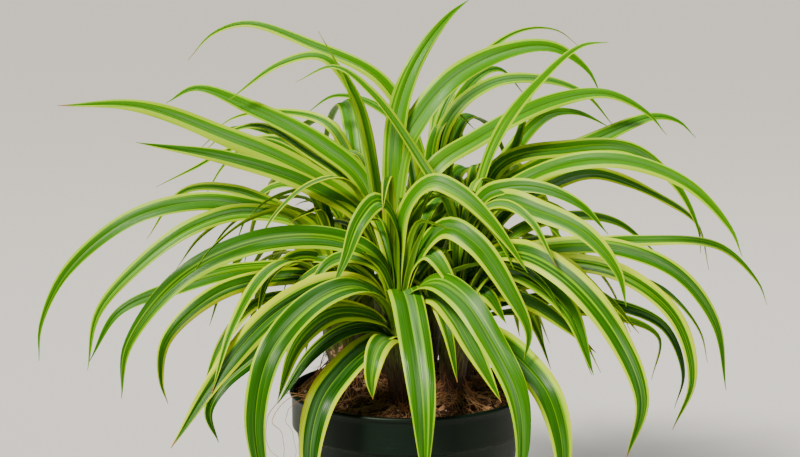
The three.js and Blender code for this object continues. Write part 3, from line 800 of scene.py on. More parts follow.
def papery_sheath(name, stem):
    """Leaf sheaths that clasp the stem: fleshy and yellow green above, dried to brown paper at the mix. Their
    near-black brown, reaching up towards the heads, is partly painted shade among the stems.
    Dry ones scatter light evenly, with ribs 0.6 mm wide and 8 mm long."""
    material, add = blank_material(name)
    place = add("Attribute", attribute_name="place", out="Vector")
    grain = add("Attribute", attribute_name="grain", out="Vector")
    height = add("SeparateXYZ", {0: place}, out="Y")
    ribs_at = add("VectorMath", {0: grain, 1: (1 / 0.625, 1 / 8.33, 1.0)}, operation="MULTIPLY")
    ribs = add("TexNoise", {"Vector": ribs_at, "Scale": 1.0, "Detail": 3.0, "Roughness": 0.6})
    ragged = add("Math", {0: ribs, 1: 0.5, 2: height}, operation="MULTIPLY_ADD")
    fresh = add("MapRange", {0: ragged, 1: 0.72, 2: 1.3}, **SOFT)
    shade = add("MapRange", {0: ribs, 1: 0.3, 2: 0.7})
    # Near-black brown low on the stems: partly dried sheath, partly painted shade.
    brown = add("Mix", {0: shade, 6: stem.dark_brown_and_shade, 7: stem.straw}, **COLOURS)
    green = add("Mix", {0: shade, 6: stem.green, 7: stem.yellow}, **COLOURS)
    mixed = add("Mix", {0: fresh, 6: brown, 7: green}, **COLOURS)
    rough = add("MapRange", {0: fresh, 3: 0.8, 4: 0.42})
    normal = add("Bump", {"Strength": 0.5, "Distance": 0.4 * MM, "Height": ribs})
    surface = add("BsdfPrincipled", {"Base Color": mixed, "Roughness": rough, "IOR": 1.45, "Normal": normal})
    add("OutputMaterial", {"Surface": surface})
    return material


def coir_mix(name, mix):
    """Coir and composted bark, packed by hand and watered: dark and matt, with threads about 0.4 mm wide and
    crumbs of about 2 mm, both drawn at twice that so that they show, and drier patches of about 18 mm."""
    material, add = blank_material(name)
    at = add("TexCoord", out="Object")
    warp = add("TexNoise", {"Vector": at, "Scale": spaced(11.1), "Detail": 2.0}, out="Color")
    bent = add("Mix", {0: 0.02, 6: at, 7: warp}, **COLOURS)
    crumbs = add("TexVoronoi", {"Vector": bent, "Scale": spaced(3.85)}, feature="F1")
    threads_at = add("VectorMath", {0: bent, 1: spaced(0.714, 3.33, 1.11)}, operation="MULTIPLY")
    threads = add("TexNoise", {"Vector": threads_at, "Scale": 1.0, "Detail": 3.0})
    patches = add("TexNoise", {"Vector": at, "Scale": spaced(18.2), "Detail": 3.0})
    light = add("Math", {0: threads, 1: patches}, operation="MULTIPLY")
    share = add("MapRange", {0: light, 1: 0.14, 2: 0.4})
    brown = add("Mix", {0: share, 6: mix.dark, 7: mix.brown}, **COLOURS)
    # Painted shade: the hollows between crumbs, low in the bump, are darkened towards the dark colour.
    hollow_shade = add("MapRange", {0: crumbs, 1: 0.0, 2: 0.5, 3: 0.0, 4: 0.7})
    shaded_hollows = add("Mix", {0: hollow_shade, 6: brown, 7: mix.dark}, **COLOURS)
    height = add("Math", {0: threads, 1: crumbs}, operation="SUBTRACT")
    rough = add("MapRange", {0: patches, 1: 0.3, 2: 0.7, 3: 0.82, 4: 0.98})
    normal = add("Bump", {"Strength": 0.9, "Distance": 1.2 * MM, "Height": height})
    surface = add("BsdfPrincipled", {"Base Color": shaded_hollows, "Roughness": rough, "IOR": 1.4, "Normal": normal})
    add("OutputMaterial", {"Surface": surface})
    return material


def plant_litter(name, dark, light, streak_mm, roughness):
    """Loose bark, coir, roots or pale crumbs: each bit has its own shade between two, with streaks of grain
    at the size given. All of it is dry plant matter or porous stone, so it is matt."""
    material, add = blank_material(name)
    place = add("Attribute", attribute_name="place", out="Vector")
    tone = add("SeparateXYZ", {0: place}, out="X")
    at = add("TexCoord", out="Object")
    fine = add("TexNoise", {"Vector": at, "Scale": spaced(streak_mm), "Detail": 3.0})
    varied = add("Math", {0: fine, 1: 0.8, 2: tone}, operation="MULTIPLY_ADD")
    share = add("MapRange", {0: varied, 1: 0.2, 2: 1.6})
    base = add("Mix", {0: share, 6: dark, 7: light}, **COLOURS)
    rough = add("MapRange", {0: fine, 1: 0.3, 2: 0.7, 3: roughness - 0.08, 4: roughness})
    normal = add("Bump", {"Strength": 0.5, "Distance": 0.4 * MM, "Height": fine})
    surface = add("BsdfPrincipled", {"Base Color": base, "Roughness": rough, "IOR": 1.45, "Normal": normal})
    add("OutputMaterial", {"Surface": surface})
    return material


def moulded_polypropylene(name, pot):
    """Injection-moulded polypropylene, coloured right through. The mould leaves it satin, with a grain of
    about 0.3 mm. Handling adds faint level scuffs about 1 mm high, and water leaves a film in clouds of about
    36 mm, and more of it near the floor."""
    material, add = blank_material(name)
    at = add("TexCoord", out="Object")
    grain = add("TexNoise", {"Vector": at, "Scale": spaced(0.303), "Detail": 1.0})
    cloud = add("TexNoise", {"Vector": at, "Scale": spaced(35.7), "Detail": 4.0, "Roughness": 0.6})
    scuff_at = add("VectorMath", {0: at, 1: spaced(16.7, 16.7, 1.11)}, operation="MULTIPLY")
    scuff_noise = add("TexNoise", {"Vector": scuff_at, "Scale": 1.0, "Detail": 3.0})
    scuff = add("MapRange", {0: scuff_noise, 1: 0.62, 2: 0.78, 4: 0.08})
    height = add("SeparateXYZ", {0: at}, out="Z")
    low = add("MapRange", {0: height, 1: 40 * MM, 2: 0.0, 4: 0.2}, **SOFT)
    film = add("MapRange", {0: cloud, 1: 0.45, 2: 0.75, 4: 0.035})
    dust = add("Math", {0: low, 1: film}, operation="MAXIMUM")
    dusty = add("Math", {0: dust, 1: cloud}, operation="MULTIPLY")
    green = add("Mix", {0: dusty, 6: pot.green, 7: pot.dust}, **COLOURS)
    worn = add("Mix", {0: scuff, 6: green, 7: pot.scuff}, **COLOURS)
    rough = add("MapRange", {0: cloud, 1: 0.3, 2: 0.7, 3: 0.34, 4: 0.48})
    normal = add("Bump", {"Strength": 0.12, "Distance": 0.2 * MM, "Height": grain})
    surface = add(
        "BsdfPrincipled",
        {"Base Color": worn, "Roughness": rough, "IOR": 1.49, "Specular IOR Level": 0.14, "Normal": normal},
    )
    add("OutputMaterial", {"Surface": surface})
    return material


def matt_paper(name, stage):
    """Seamless studio paper: matt, with a very slight mottle over about a third of a metre."""
    material, add = blank_material(name)
    at = add("TexCoord", out="Object")
    mottle = add("TexNoise", {"Vector": at, "Scale": spaced(333), "Detail": 2.0})
    share = add("MapRange", {0: mottle, 4: 0.04})
    shade = add("Mix", {0: share, 6: stage.floor, 7: stage.mottle}, **COLOURS)
    surface = add("BsdfPrincipled", {"Base Color": shade, "Roughness": 0.9})
    add("OutputMaterial", {"Surface": surface})
    return material


# Leaves and stems


def frames(path, heading):
    """Along and across directions at each point of a midrib that lies in its own upright plane."""
    turn = math.radians(heading)
    along = unit(np.gradient(path, axis=0))
    level = np.array([-math.sin(turn), math.cos(turn), 0])
    across = unit(level - along * (along @ level)[:, None])
    return along, across


def half_width(width, share):
    """Half a blade's width: it widens from the root, keeps its width and narrows to a long point."""
    grown = ROOT_WIDTH_SHARE + (1 - ROOT_WIDTH_SHARE) * smoothstep(share, 0, WIDTH_GROWN_AT)
    past = np.clip((share - WIDEST_AT) / (1 - WIDEST_AT), 0, 1)
    return np.maximum(TIP_WIDTH, width * grown * (1 - past**TAPER_POWER)) / 2


def blade(shape, crown, leaf, number, strip, settings, rows=BLADE_ROWS):
    """Adds one leaf to a shape. strip is the part of the piece's texture that it takes, as (low, high)."""
    step, start = LEAF_SEEDS
    pick = random.Random(number * step + start)
    turn = math.radians(leaf.heading)
    head_x, head_y, head_z = crown.head
    root = [(LEAF_ROOT_OUT, head_z - LEAF_ROOT_DEPTH), (LEAF_PART_OUT, head_z + LEAF_PART_HEIGHT)]
    points = [
        (head_x + out * math.cos(turn), head_y + out * math.sin(turn), up) for out, up in (*root, *leaf.route)
    ]
    path, length = smooth_path(points, rows)
    along, level = frames(path, leaf.heading)
    share = np.linspace(0, 1, rows)
    run = share * length

    # The blade rolls as it leaves its stem, and sways a little further each way along its length.
    sway = pick.uniform(-SWAY, SWAY) * np.sin(run / pick.uniform(*SWAY_LENGTH) + pick.uniform(*ANY_START))
    turned_by = leaf.roll * smoothstep(share, 0, ROLL_SETTLED_AT) + sway * smoothstep(share, *SWAY_FROM)
    roll = np.radians(turned_by)[:, None]
    across = level * np.cos(roll) + np.cross(along, level) * np.sin(roll)
    upward = np.cross(along, across)

    # Across, it is a channel with arched halves, a groove over the midrib and margins that wave up and down.
    half = half_width(leaf.width, share)[:, None]
    settled = smoothstep(share, 0, CHANNEL_SETTLED_AT)[:, None]
    channel = CHANNEL_AT_ROOT + (CHANNEL_AT_TIP - CHANNEL_AT_ROOT) * settled
    places = COLUMNS[None, :]
    side = np.abs(places)
    arch = np.where(places < 0, pick.uniform(*ARCH), pick.uniform(*ARCH))
    lift = half * (channel * side**CHANNEL_POWER + arch * np.sin(math.pi * side))
    before_tip = smoothstep(1 - share, 0, GROOVE_ENDS)[:, None]
    groove = settings.groove / MM * np.clip(1 - side / GROOVE_REACH, 0, 1) * before_tip
    waves = [
        np.sin(run * 2 * math.pi / pick.uniform(*RIPPLE_LENGTH) + pick.uniform(*ANY_START)) for _ in range(2)
    ]
    wave = np.where(places < 0, waves[0][:, None], waves[1][:, None])
    waving = (smoothstep(share, *RIPPLE_FROM) * smoothstep(1 - share, 0, RIPPLE_ENDS))[:, None]
    ripple = settings.ripple / MM * leaf.width / RIPPLE_WIDTH * wave * side**RIPPLE_POWER * waving
    middle = (
        path[:, None]
        + across[:, None] * (half * places)[:, :, None]
        + upward[:, None] * (lift - groove + ripple)[:, :, None]
    )
    thinned = THINNEST + (1 - THINNEST) * np.minimum(1, half / FULL_THICKNESS_AT)
    thickness = settings.thickness / MM / 2 * np.sqrt(1 - side**2) * thinned
    vertices, spots, faces, sides = closed_sheet(middle, upward[:, None] * thickness[:, :, None])

    # The material reads where a point lies, in shares and in millimetres, and the leaf's own shade.
    row, column = spots.T
    seed = pick.uniform(*LEAF_PATTERNS)
    place = rows_of(COLUMNS[column], share[row], pick.random())
    grain = rows_of(COLUMNS[column] * half[row, 0], run[row], seed)
    high = max(up for _, up in leaf.route) - head_z
    fresh = np.clip(FRESH_LEAST + high / FRESH_RISE + pick.uniform(-FRESH_VARIES, FRESH_VARIES), 0, 1)
    shape.add(vertices, faces, sides == UNDER, place, grain, fresh, strips(row, column, faces, sides, strip))


def strips(row, column, faces, sides, strip):
    """A place in the piece's texture for each face corner of a blade, inside the strip from low to high."""
    low, high = strip
    loops = np.concatenate([np.array(face) for face in faces])
    side = np.repeat(sides, [len(face) for face in faces])
    begin, end = STRIP_LENGTH
    u = begin + (end - begin) * row[loops] / row.max()
    begin, end = STRIP_END
    lower = loops > (row.max() + 1) * (column.max() + 1)
    u = np.where(side == END, begin + (end - begin) * lower, u)
    start = low + (high - low) * np.where(side == UNDER, STRIP_UNDER[0], STRIP_UPPER[0])
    width = (high - low) * np.where(side == UNDER, STRIP_UNDER[1], STRIP_UPPER[1])
    return rows_of(u, start + width * (column[loops] / column.max()))


def stem_radius(height, top):
    """A stem's radius at a height above its foot."""
    heights = [0, top * PLAIN_STEM_SHARE, top, top + SHEATH_HEIGHT]
    return np.interp(height, heights, [STEM_RADIUS, STEM_RADIUS, SHEATH_RADIUS, SHEATH_TIP_RADIUS])


def stem(shape, crown, number):
    """Adds a crown's stem: a knobbly woody core wrapped in overlapping leaf sheaths."""
    step, start = STEM_SEEDS
    pick = random.Random(number * step + start)
    top = crown.head[2] - STEM_BOTTOM
    lean = (np.array(crown.head[:2], float) - crown.foot) / top
    foot = np.array([*crown.foot, STEM_BOTTOM], float)

    heights = np.linspace(0, top + SHEATH_HEIGHT, CORE_RINGS)
    profile = [(0, 0), *zip(stem_radius(heights, top), heights), (0, top + SHEATH_HEIGHT + 1)]
    vertices, faces = turned(profile, CORE_SIDES)
    for v in vertices:
        woody = 1 - smoothstep(v[2], top * WOODY_SHARE, top)
        x, y, z = v * KNOBS_PER_MM
        knob = noise.noise(Vector((x + number * KNOB_STEP, y, z)))
        rib = math.sin(RIBS * math.atan2(v[1], v[0]) + v[2] * RIB_TWIST)
        v[:2] *= 1 + KNOB_SHARE * woody * knob + RIB_SHARE * rib
    grown = np.clip(vertices[:, 2] / (top + SHEATH_HEIGHT), 0, 1)
    turn = np.arctan2(vertices[:, 1], vertices[:, 0])
    place = rows_of(0, grown, pick.random())
    grain = rows_of(turn * CORE_GRAIN, vertices[:, 2], number * GRAIN_STEP)
    vertices[:, :2] += vertices[:, 2:] * lean
    shape.add(vertices + foot, faces, 0, place, grain)

    # A sheath is widest at its root, narrows to a point, and stands off the core more towards its tip.
    v = np.linspace(0, 1, SHEATH_ROWS)[:, None]
    u = np.linspace(-1, 1, SHEATH_COLUMNS)[None, :]
    for k in range(SHEATHS):
        tall = pick.uniform(*SHEATH_LENGTH) + SHEATH_LENGTHENS * k
        height = top * (LOWEST_SHEATH + SHEATH_STEP * k) + v * tall + 0 * u
        full, pointed = SHEATH_OUTLINE
        wrap = math.radians(SHEATH_HALF_WRAP) * (1 - v**full) ** pointed + SHEATH_LEAST_WRAP
        turn = k * GOLDEN_TURN + number + u * wrap
        off = SHEATH_STAND_OFF + SHEATH_LIFTS * k
        off = off + pick.uniform(*SHEATH_FLARE) * v**SHEATH_FLARE_POWER + SHEATH_CROWN * (1 - u**2)
        radius = stem_radius(height, top) + off
        middle = rows_of(radius * np.cos(turn), radius * np.sin(turn), height)
        middle[:, :, :2] += height[:, :, None] * lean
        outward = rows_of(np.cos(turn), np.sin(turn), 0)
        thin = SHEATH_HALF_THICKNESS * np.sqrt(1 - u**2) * (1 - SHEATH_THINS * v)
        sheet, spots, faces, _ = closed_sheet(middle, outward * thin[:, :, None])
        row, column = spots.T
        ripe = height[row, column] / (top + SHEATH_HEIGHT) + pick.uniform(*SHEATH_RIPENS) * v[row, 0]
        place = rows_of(u[0, column], ripe, pick.random())
        grain = rows_of(u[0, column] * SHEATH_GRAIN, v[row, 0] * tall, pick.uniform(*SHEATH_PATTERNS))
        shape.add(sheet + foot, faces, 0, place, grain)


# Potting mix


class Mound(NamedTuple):
    """A place where stems have heaped the mix up, with its height and how far it reaches."""

    x: float
    y: float
    height: float
    reach: float


MOUNDS = [
    Mound(-44, -2, 28, 19),
    Mound(-4, -38, 5, 13),
    Mound(27, -24, 11, 15),
    Mound(33, 15, 5, 14),
    Mound(-8, 10, 8, 18),
    Mound(-22, 36, 6, 15),
    Mound(12, 42, 6, 15),
]


def mix_height(x, y):
    """The top of the mix: domed, lumpy, heaped round the stems and rough all over."""
    share = math.hypot(x, y) / RIM_RADIUS
    lumps = math.sin(x / LUMP_LENGTH + 1) * math.cos(y / LUMP_WIDTH)
    lumps += SMALL_LUMP_SHARE * math.sin((x + y) / SMALL_LUMP)
    height = MIX_EDGE + MIX_DOME * (1 - share**2) + MIX_LUMP * lumps * (1 - share)
    for mound in MOUNDS:
        height += mound.height * math.exp(-((x - mound.x) ** 2 + (y - mound.y) ** 2) / mound.reach**2)
    rough = noise.fractal(Vector((x, y, 0)) / ROUGH_LENGTH, *ROUGH_LAYERS)
    return height + ROUGH_HEIGHT * rough * (1 - share**6)


def wall_radius(height):
    """The pot's outer radius below its collar."""
    return BASE_RADIUS + (COLLAR_RADIUS - COLLAR_STEP - BASE_RADIUS) * height / COLLAR_BOTTOM


def mix_body(shape):
    """The mix fills the pot, and its top is a fine rough surface."""
    inner = COLLAR_RADIUS - POT_WALL - CLEARANCE
    wall = POT_WALL + CLEARANCE
    floor = POT_FLOOR + CLEARANCE
    shoulder = COLLAR_BOTTOM - COLLAR_STEP
    profile = [
        (0, floor),
        (DRAIN_CIRCLE, floor),
        (wall_radius(floor) - wall, floor),
        (wall_radius(shoulder) - wall, shoulder),
        (inner, COLLAR_BOTTOM + wall),
        *((radius, MIX_EDGE) for radius in np.linspace(inner, INNERMOST_RING, MIX_RINGS)),
        (0, MIX_EDGE),
    ]
    vertices, faces = turned(profile, MIX_SIDES)
    for v in vertices:
        if v[2] > MIX_EDGE - CLEARANCE:
            v[2] = mix_height(v[0], v[1])
    shape.add(vertices, faces)


# Loose bits: how far their corners reach, their width as a share of their length, how much they tilt, in
# radians, and the radius that they are scattered in
CORNER_REACH = (0.62, 1.2)
CHIP_WIDTH = (0.4, 0.8)
CHIP_TILT = 0.45
SCATTER_RADIUS = 74

# The bits of old root at the left crown: where they lie on its mound, and on its stem, as shares of its
# height and in radians round it
MOUND_FRONT = (-44, -9)
MOUND_SCATTER = 7
KNOBS_UP = (0.6, 0.97)
KNOBS_AROUND = 0.7

# Fibres and fine roots: how far they lie over the mix, where they meet the pot's wall, how far they turn
# there, in radians, and draw back, and how far from a stem's middle roots start
FIBRE_STEPS = 12
FIBRE_POINTS = 17
FIBRE_LIFT = 0.1
FIBRE_RADIUS = 75
FIBRE_TURNS = 1.2
FIBRE_DRAWS_BACK = 0.97
ROOT_START = 7

# Wiry roots: how far up a stem they start, how deep in it, and how far out they end under the mix. They swing
# round the stem, in radians, wander sideways, and rise in a kink of a mean height and spread.
WIRY_STEPS = 9
WIRY_POINTS = 22
WIRY_RISE = (1, 24)
WIRY_START = STEM_RADIUS - 1.5
WIRY_REACH = (5, 19)
WIRY_SUNK = 0.5
WIRY_FALL_POWER = 0.8
WIRY_SWING = 0.8
WIRY_WANDER = 1.1
WIRY_KINK = (0.8, 0.9)
WIRY_RADIUS = (0.16, 0.36)

# Their rootlets, which start anywhere but near the ends
ROOTLETS = 2
ROOTLET_STEPS = 4
ROOTLET_POINTS = 8
ROOTLET_LENGTH = (3, 9)
ROOTLET_DROOP = (-0.1, 0.5)
ROOTLET_SHAKE = 0.6
ROOTLET_SHARE = 0.55
ROOTLET_CLEAR = 4


def ball():
    """The corners and faces of a sphere with 20 faces."""
    made = bmesh.new()
    bmesh.ops.create_icosphere(made, subdivisions=1, radius=1)
    corners = np.array([v.co for v in made.verts])
    faces = [tuple(v.index for v in face.verts) for face in made.faces]
    made.free()
    return corners, faces


def rotation(angles):
    """The product of turns about X, Y and Z."""
    made = np.eye(3)
    for axis, angle in enumerate(angles):
        a, b = [i for i in range(3) if i != axis]
        one = np.eye(3)
        one[a, a] = one[b, b] = math.cos(angle)
        one[a, b], one[b, a] = math.sin(angle), -math.sin(angle)
        made = made @ one
    return made


def chips(shape, pick, count, spot, long, flat, proud, slot=0):
    """Angular bits of bark or stone: balls of 20 faces with each corner pushed in or out. long is the range
    of half their length. flat, a range, and proud are shares of that: half their height, and how far their
    middle lies over the point that spot gives."""
    corners, faces = ball()
    for _ in range(count):
        bit = corners * [[pick.uniform(*CORNER_REACH)] for _ in corners]
        reach = pick.uniform(*long)
        bit *= (reach, reach * pick.uniform(*CHIP_WIDTH), reach * pick.uniform(*flat))
        tilt = [pick.gauss(0, CHIP_TILT), pick.gauss(0, CHIP_TILT)]
        bit = bit @ rotation([*tilt, pick.uniform(*ANY_TURN)])
        shape.add(bit + spot(pick, proud * reach), faces, slot, (pick.random(), 0, 0))


def on_mix(pick, lift):
    """A point over the mix, evenly scattered inside the rim."""
    turn, out = pick.uniform(0, math.tau), SCATTER_RADIUS * math.sqrt(pick.random())
    x, y = polar(out, turn)
    return np.array([x, y, mix_height(x, y) + lift])


def on_mound(pick, lift):
    """A point over the front of the mound that the left crown stands in."""
    x, y = (pick.gauss(middle, MOUND_SCATTER) for middle in MOUND_FRONT)
    return np.array([x, y, mix_height(x, y) + lift])


def on_left_stem(pick, lift):
    """A point over the front of the left crown's stem, near its head."""
    crown = next(crown for crown in CROWNS if crown.name == "left")
    tall = crown.head[2] - STEM_BOTTOM
    up, turn = pick.uniform(*KNOBS_UP) * tall, pick.gauss(-math.pi / 2, KNOBS_AROUND)
    x, y = polar(stem_radius(up, tall) + lift, turn)
    middle_x, middle_y = [a + (b - a) * up / tall for a, b in zip(crown.foot, crown.head)]
    return np.array([middle_x + x, middle_y + y, STEM_BOTTOM + up])


def thread(shape, path, radius, slot, tone, thinner=0.5, sides=4):
    """Adds a thin rod that tapers along a path. tone is its shade, and thinner the share that it loses."""
    taper = radius * (1 - thinner * np.linspace(0, 1, len(path)))
    shape.add(*tube(path, taper, sides), slot, (tone, 0, 0))


def fibre(shape, pick, start, heading, long, radius, hump, slot, bend=0.32):
    """A thin thread that wanders over the mix from a point, lifting a little between its ends and turning
    back at the pot's wall. long, radius and hump are ranges, and bend is in radians a step."""
    long, radius, hump = (pick.uniform(*span) for span in (long, radius, hump))
    x, y = start
    points = []
    for i in range(FIBRE_STEPS):
        rise = hump * math.sin(math.pi * i / (FIBRE_STEPS - 1))
        points.append((x, y, mix_height(x, y) + FIBRE_LIFT + rise))
        x += long / FIBRE_STEPS * math.cos(heading)
        y += long / FIBRE_STEPS * math.sin(heading)
        if math.hypot(x, y) > FIBRE_RADIUS:
            heading += FIBRE_TURNS
            x, y = x * FIBRE_DRAWS_BACK, y * FIBRE_DRAWS_BACK
        heading += pick.gauss(0, bend)
    path, _ = smooth_path(points, FIBRE_POINTS)
    thread(shape, path, radius, slot, pick.random())


def wiry_root(shape, pick, crown):
    """A wiry root that leaves a stem a little above the mix and wanders down into it, with two rootlets."""
    turn, swing = pick.uniform(0, math.tau), pick.gauss(0, WIRY_SWING)
    rise, reach = pick.uniform(*WIRY_RISE), pick.uniform(*WIRY_REACH)
    foot, head = np.array(crown.foot, float), np.array(crown.head[:2], float)
    grown = (mix_height(*crown.foot) + rise - STEM_BOTTOM) / (crown.head[2] - STEM_BOTTOM)
    middle_x, middle_y = foot + (head - foot) * grown
    points = []
    for share in np.linspace(0, 1, WIRY_STEPS):
        out_x, out_y = polar(WIRY_START + reach * share, turn + swing * share)
        x = middle_x + out_x + pick.gauss(0, WIRY_WANDER) * share
        y = middle_y + out_y + pick.gauss(0, WIRY_WANDER) * share
        kink = pick.gauss(*WIRY_KINK) * math.sin(math.pi * share)
        points.append((x, y, mix_height(x, y) - WIRY_SUNK + rise * (1 - share**WIRY_FALL_POWER) + kink))
    path, _ = smooth_path(points, WIRY_POINTS)
    radius = pick.uniform(*WIRY_RADIUS)
    tone = pick.random()
    thread(shape, path, radius, 0, tone)
    for _ in range(ROOTLETS):
        begin = path[pick.randrange(ROOTLET_CLEAR, len(path) - ROOTLET_CLEAR)]
        aim = unit(np.array([pick.gauss(0, 1), pick.gauss(0, 1), pick.gauss(*ROOTLET_DROOP)]))
        long = pick.uniform(*ROOTLET_LENGTH)
        shakes = np.array([[pick.gauss(0, ROOTLET_SHAKE) for _ in range(3)] for _ in range(ROOTLET_STEPS)])
        shakes[0] = 0
        points = [begin + aim * long * i / ROOTLET_STEPS + shake for i, shake in enumerate(shakes)]
        twig, _ = smooth_path(points, ROOTLET_POINTS)
        thread(shape, twig, radius * ROOTLET_SHARE, 0, tone)


# Pot


def arc(middle, radius, start, end, steps):
    """Points (radius, height) on an arc, with its angles in degrees."""
    turns = np.radians(np.linspace(start, end, steps))
    return [(middle[0] + radius * math.cos(t), middle[1] + radius * math.sin(t)) for t in turns]


def pot_profile():
    """The pot's wall, as the solid has it, with its corners rounded as a mould leaves them."""
    foot = BASE_RADIUS - FOOT_ROUND
    shoulder = COLLAR_BOTTOM - COLLAR_STEP
    bead_bottom = POT_HEIGHT - 2 * BEAD_RADIUS
    outer = [
        # The injection mark and the floor's underside
        (0, GATE_DEPTH),
        (GATE_RADIUS, GATE_DEPTH),
        (GATE_RADIUS + 0.4, 0.1),
        (GATE_RADIUS + 1, 0),
        *((radius, 0) for radius in np.linspace(10, foot, 9)),
        # The rounded foot and the tapered wall
        *arc((foot + 0.4, FOOT_ROUND), FOOT_ROUND, -80, -10, 7),
        *((wall_radius(z), z) for z in np.linspace(FOOT_ROUND + 1, shoulder - 1, 24)),
        # The step under the collar, and the collar up to its bead
        *arc((wall_radius(shoulder) + EDGE_ROUND, shoulder - 0.6), EDGE_ROUND, 170, 100, 4),
        *arc((COLLAR_RADIUS - EDGE_ROUND, COLLAR_BOTTOM), EDGE_ROUND, -60, 0, 5),
        *((COLLAR_RADIUS, z) for z in np.linspace(COLLAR_BOTTOM + 1.5, bead_bottom - 0.6, 8)),
    ]
    inner = [
        (COLLAR_RADIUS - POT_WALL, bead_bottom),
        (COLLAR_RADIUS - POT_WALL, COLLAR_BOTTOM + POT_WALL),
        (wall_radius(COLLAR_BOTTOM) - POT_WALL, shoulder),
        (wall_radius(POT_FLOOR) - POT_WALL, POT_FLOOR),
        (DRAIN_CIRCLE, POT_FLOOR),
        (0, POT_FLOOR),
    ]
    bead = (COLLAR_RADIUS, POT_HEIGHT - BEAD_RADIUS)
    return [*outer, *arc(bead, BEAD_RADIUS, -75, 170, 22), *inner]


# Sizes and colours that a user would change


class LeafSettings(bpy.types.PropertyGroup):
    thickness: size("Thickness", 0.9, "Thickness of a blade along its midrib")
    groove: size("Groove", 0.45, "Depth of the groove over the midrib")
    ripple: size("Ripple", 0.7, "How far the margins of a blade 18 mm wide wave up and down")
    dark_green: colour("Dark green", "#0c3200", "Darker streaks in the middle of a blade")
    green: colour("Green", "#246400", "Lighter streaks in the middle of a blade")
    fresh_green: colour("Fresh green", "#58a800", "The middle of young upright blades, and lines in margins")
    stripe: colour("Stripe", "#90d000", "Pale stripes in the green")
    # The wax bloom colour is partly painted sheen: the silvery highlight of the wax beside the midrib.
    painted_sheen: colour("Wax bloom", "#7c9f70", "Silvery wax beside the midrib")
    lime: colour("Lime", "#9ac400", "The margin where it meets the green")
    cream: colour("Cream", "#d8e010", "The palest margins")
    young: colour("Young tissue", "#8cc000", "Blades near their roots")
    underside: colour("Underside", "#7ea00c", "What the underside is tinted with")
    dry_tip: colour("Dry tip", "#9a7436", "Tips that have dried")


class StemSettings(bpy.types.PropertyGroup):
    # Dark brown is partly painted shade, darkening the sheaths low among the stems.
    dark_brown_and_shade: colour("Dark brown", "#160b05", "Old wet sheaths and the woody core")
    straw: colour("Straw", "#523620", "Dried sheaths")
    green: colour("Green", "#48680c", "Fresh sheaths")
    yellow: colour("Yellow", "#7c9420", "Fresh sheaths at their pale ribs")


class MixSettings(bpy.types.PropertyGroup):
    chips: number_of("Bark chips", 620, "Number of bark chips on the mix")
    fibres: number_of("Coir fibres", 620, "Number of coir fibres on the mix")
    roots: number_of("Fine roots", 200, "Number of fine roots on the mix")
    wiry_roots: number_of("Wiry roots", 26, "Number of wiry roots round each stem")
    crumbs: number_of("Pale crumbs", 60, "Number of pale crumbs on the mix")
    # Dark is wet coir, and also the painted shade in the hollows between crumbs.
    dark: colour("Dark", "#180c06", "Wet coir in the hollows")
    brown: colour("Brown", "#5e3820", "Coir where it has dried")
    bark_dark: colour("Dark bark", "#3a2214", "The darkest chips")
    bark_light: colour("Light bark", "#9c7450", "The lightest chips")
    coir_dark: colour("Dark coir", "#5a3318", "The darkest fibres")
    coir_light: colour("Light coir", "#b98550", "The lightest fibres")
    root_dark: colour("Dark root", "#6e4a2a", "The darkest fine roots")
    root_light: colour("Light root", "#b98e5c", "The lightest fine roots")
    wiry_dark: colour("Dark wiry root", "#4a2412", "The darkest wiry roots")
    wiry_light: colour("Light wiry root", "#b06c3c", "The lightest wiry roots")
    crumb_dark: colour("Dark crumb", "#a78d78", "The darkest pale crumbs")
    crumb_light: colour("Light crumb", "#ded2c2", "The lightest pale crumbs")


class PotSettings(bpy.types.PropertyGroup):
    green: colour("Green", "#06170c", "The pot's plastic")
    dust: colour("Dust", "#5c6654", "Dried water and dust")
    scuff: colour("Scuff", "#4a5650", "Faint scuffs")


class StageSettings(bpy.types.PropertyGroup):
    floor: colour("Floor", "#d9d8d4", "The studio paper")
    mottle: colour("Mottle", "#c4c2bc", "The studio paper's faint mottle")
    warmth: colour("Key light colour", "#fff6e8", "A slightly warm white")
    key_power: FloatProperty(name="Key light", description="The large soft light's strength", default=6.0)
    fill_power: power("Fill light", 5, "The fill light's power")
    top_power: power("Top light", 20, "The overhead light's power")


class PlantSettings(bpy.types.PropertyGroup):
    leaf: PointerProperty(type=LeafSettings, name="Leaves", description="The blades' sizes and colours")
    stem: PointerProperty(type=StemSettings, name="Stems", description="The sheaths' colours")
    mix: PointerProperty(type=MixSettings, name="Potting mix", description="Loose bits and colours")
    pot: PointerProperty(type=PotSettings, name="Pot", description="The pot's colours")
    stage: PointerProperty(type=StageSettings, name="Stage", description="The floor and the lights")


# Operators


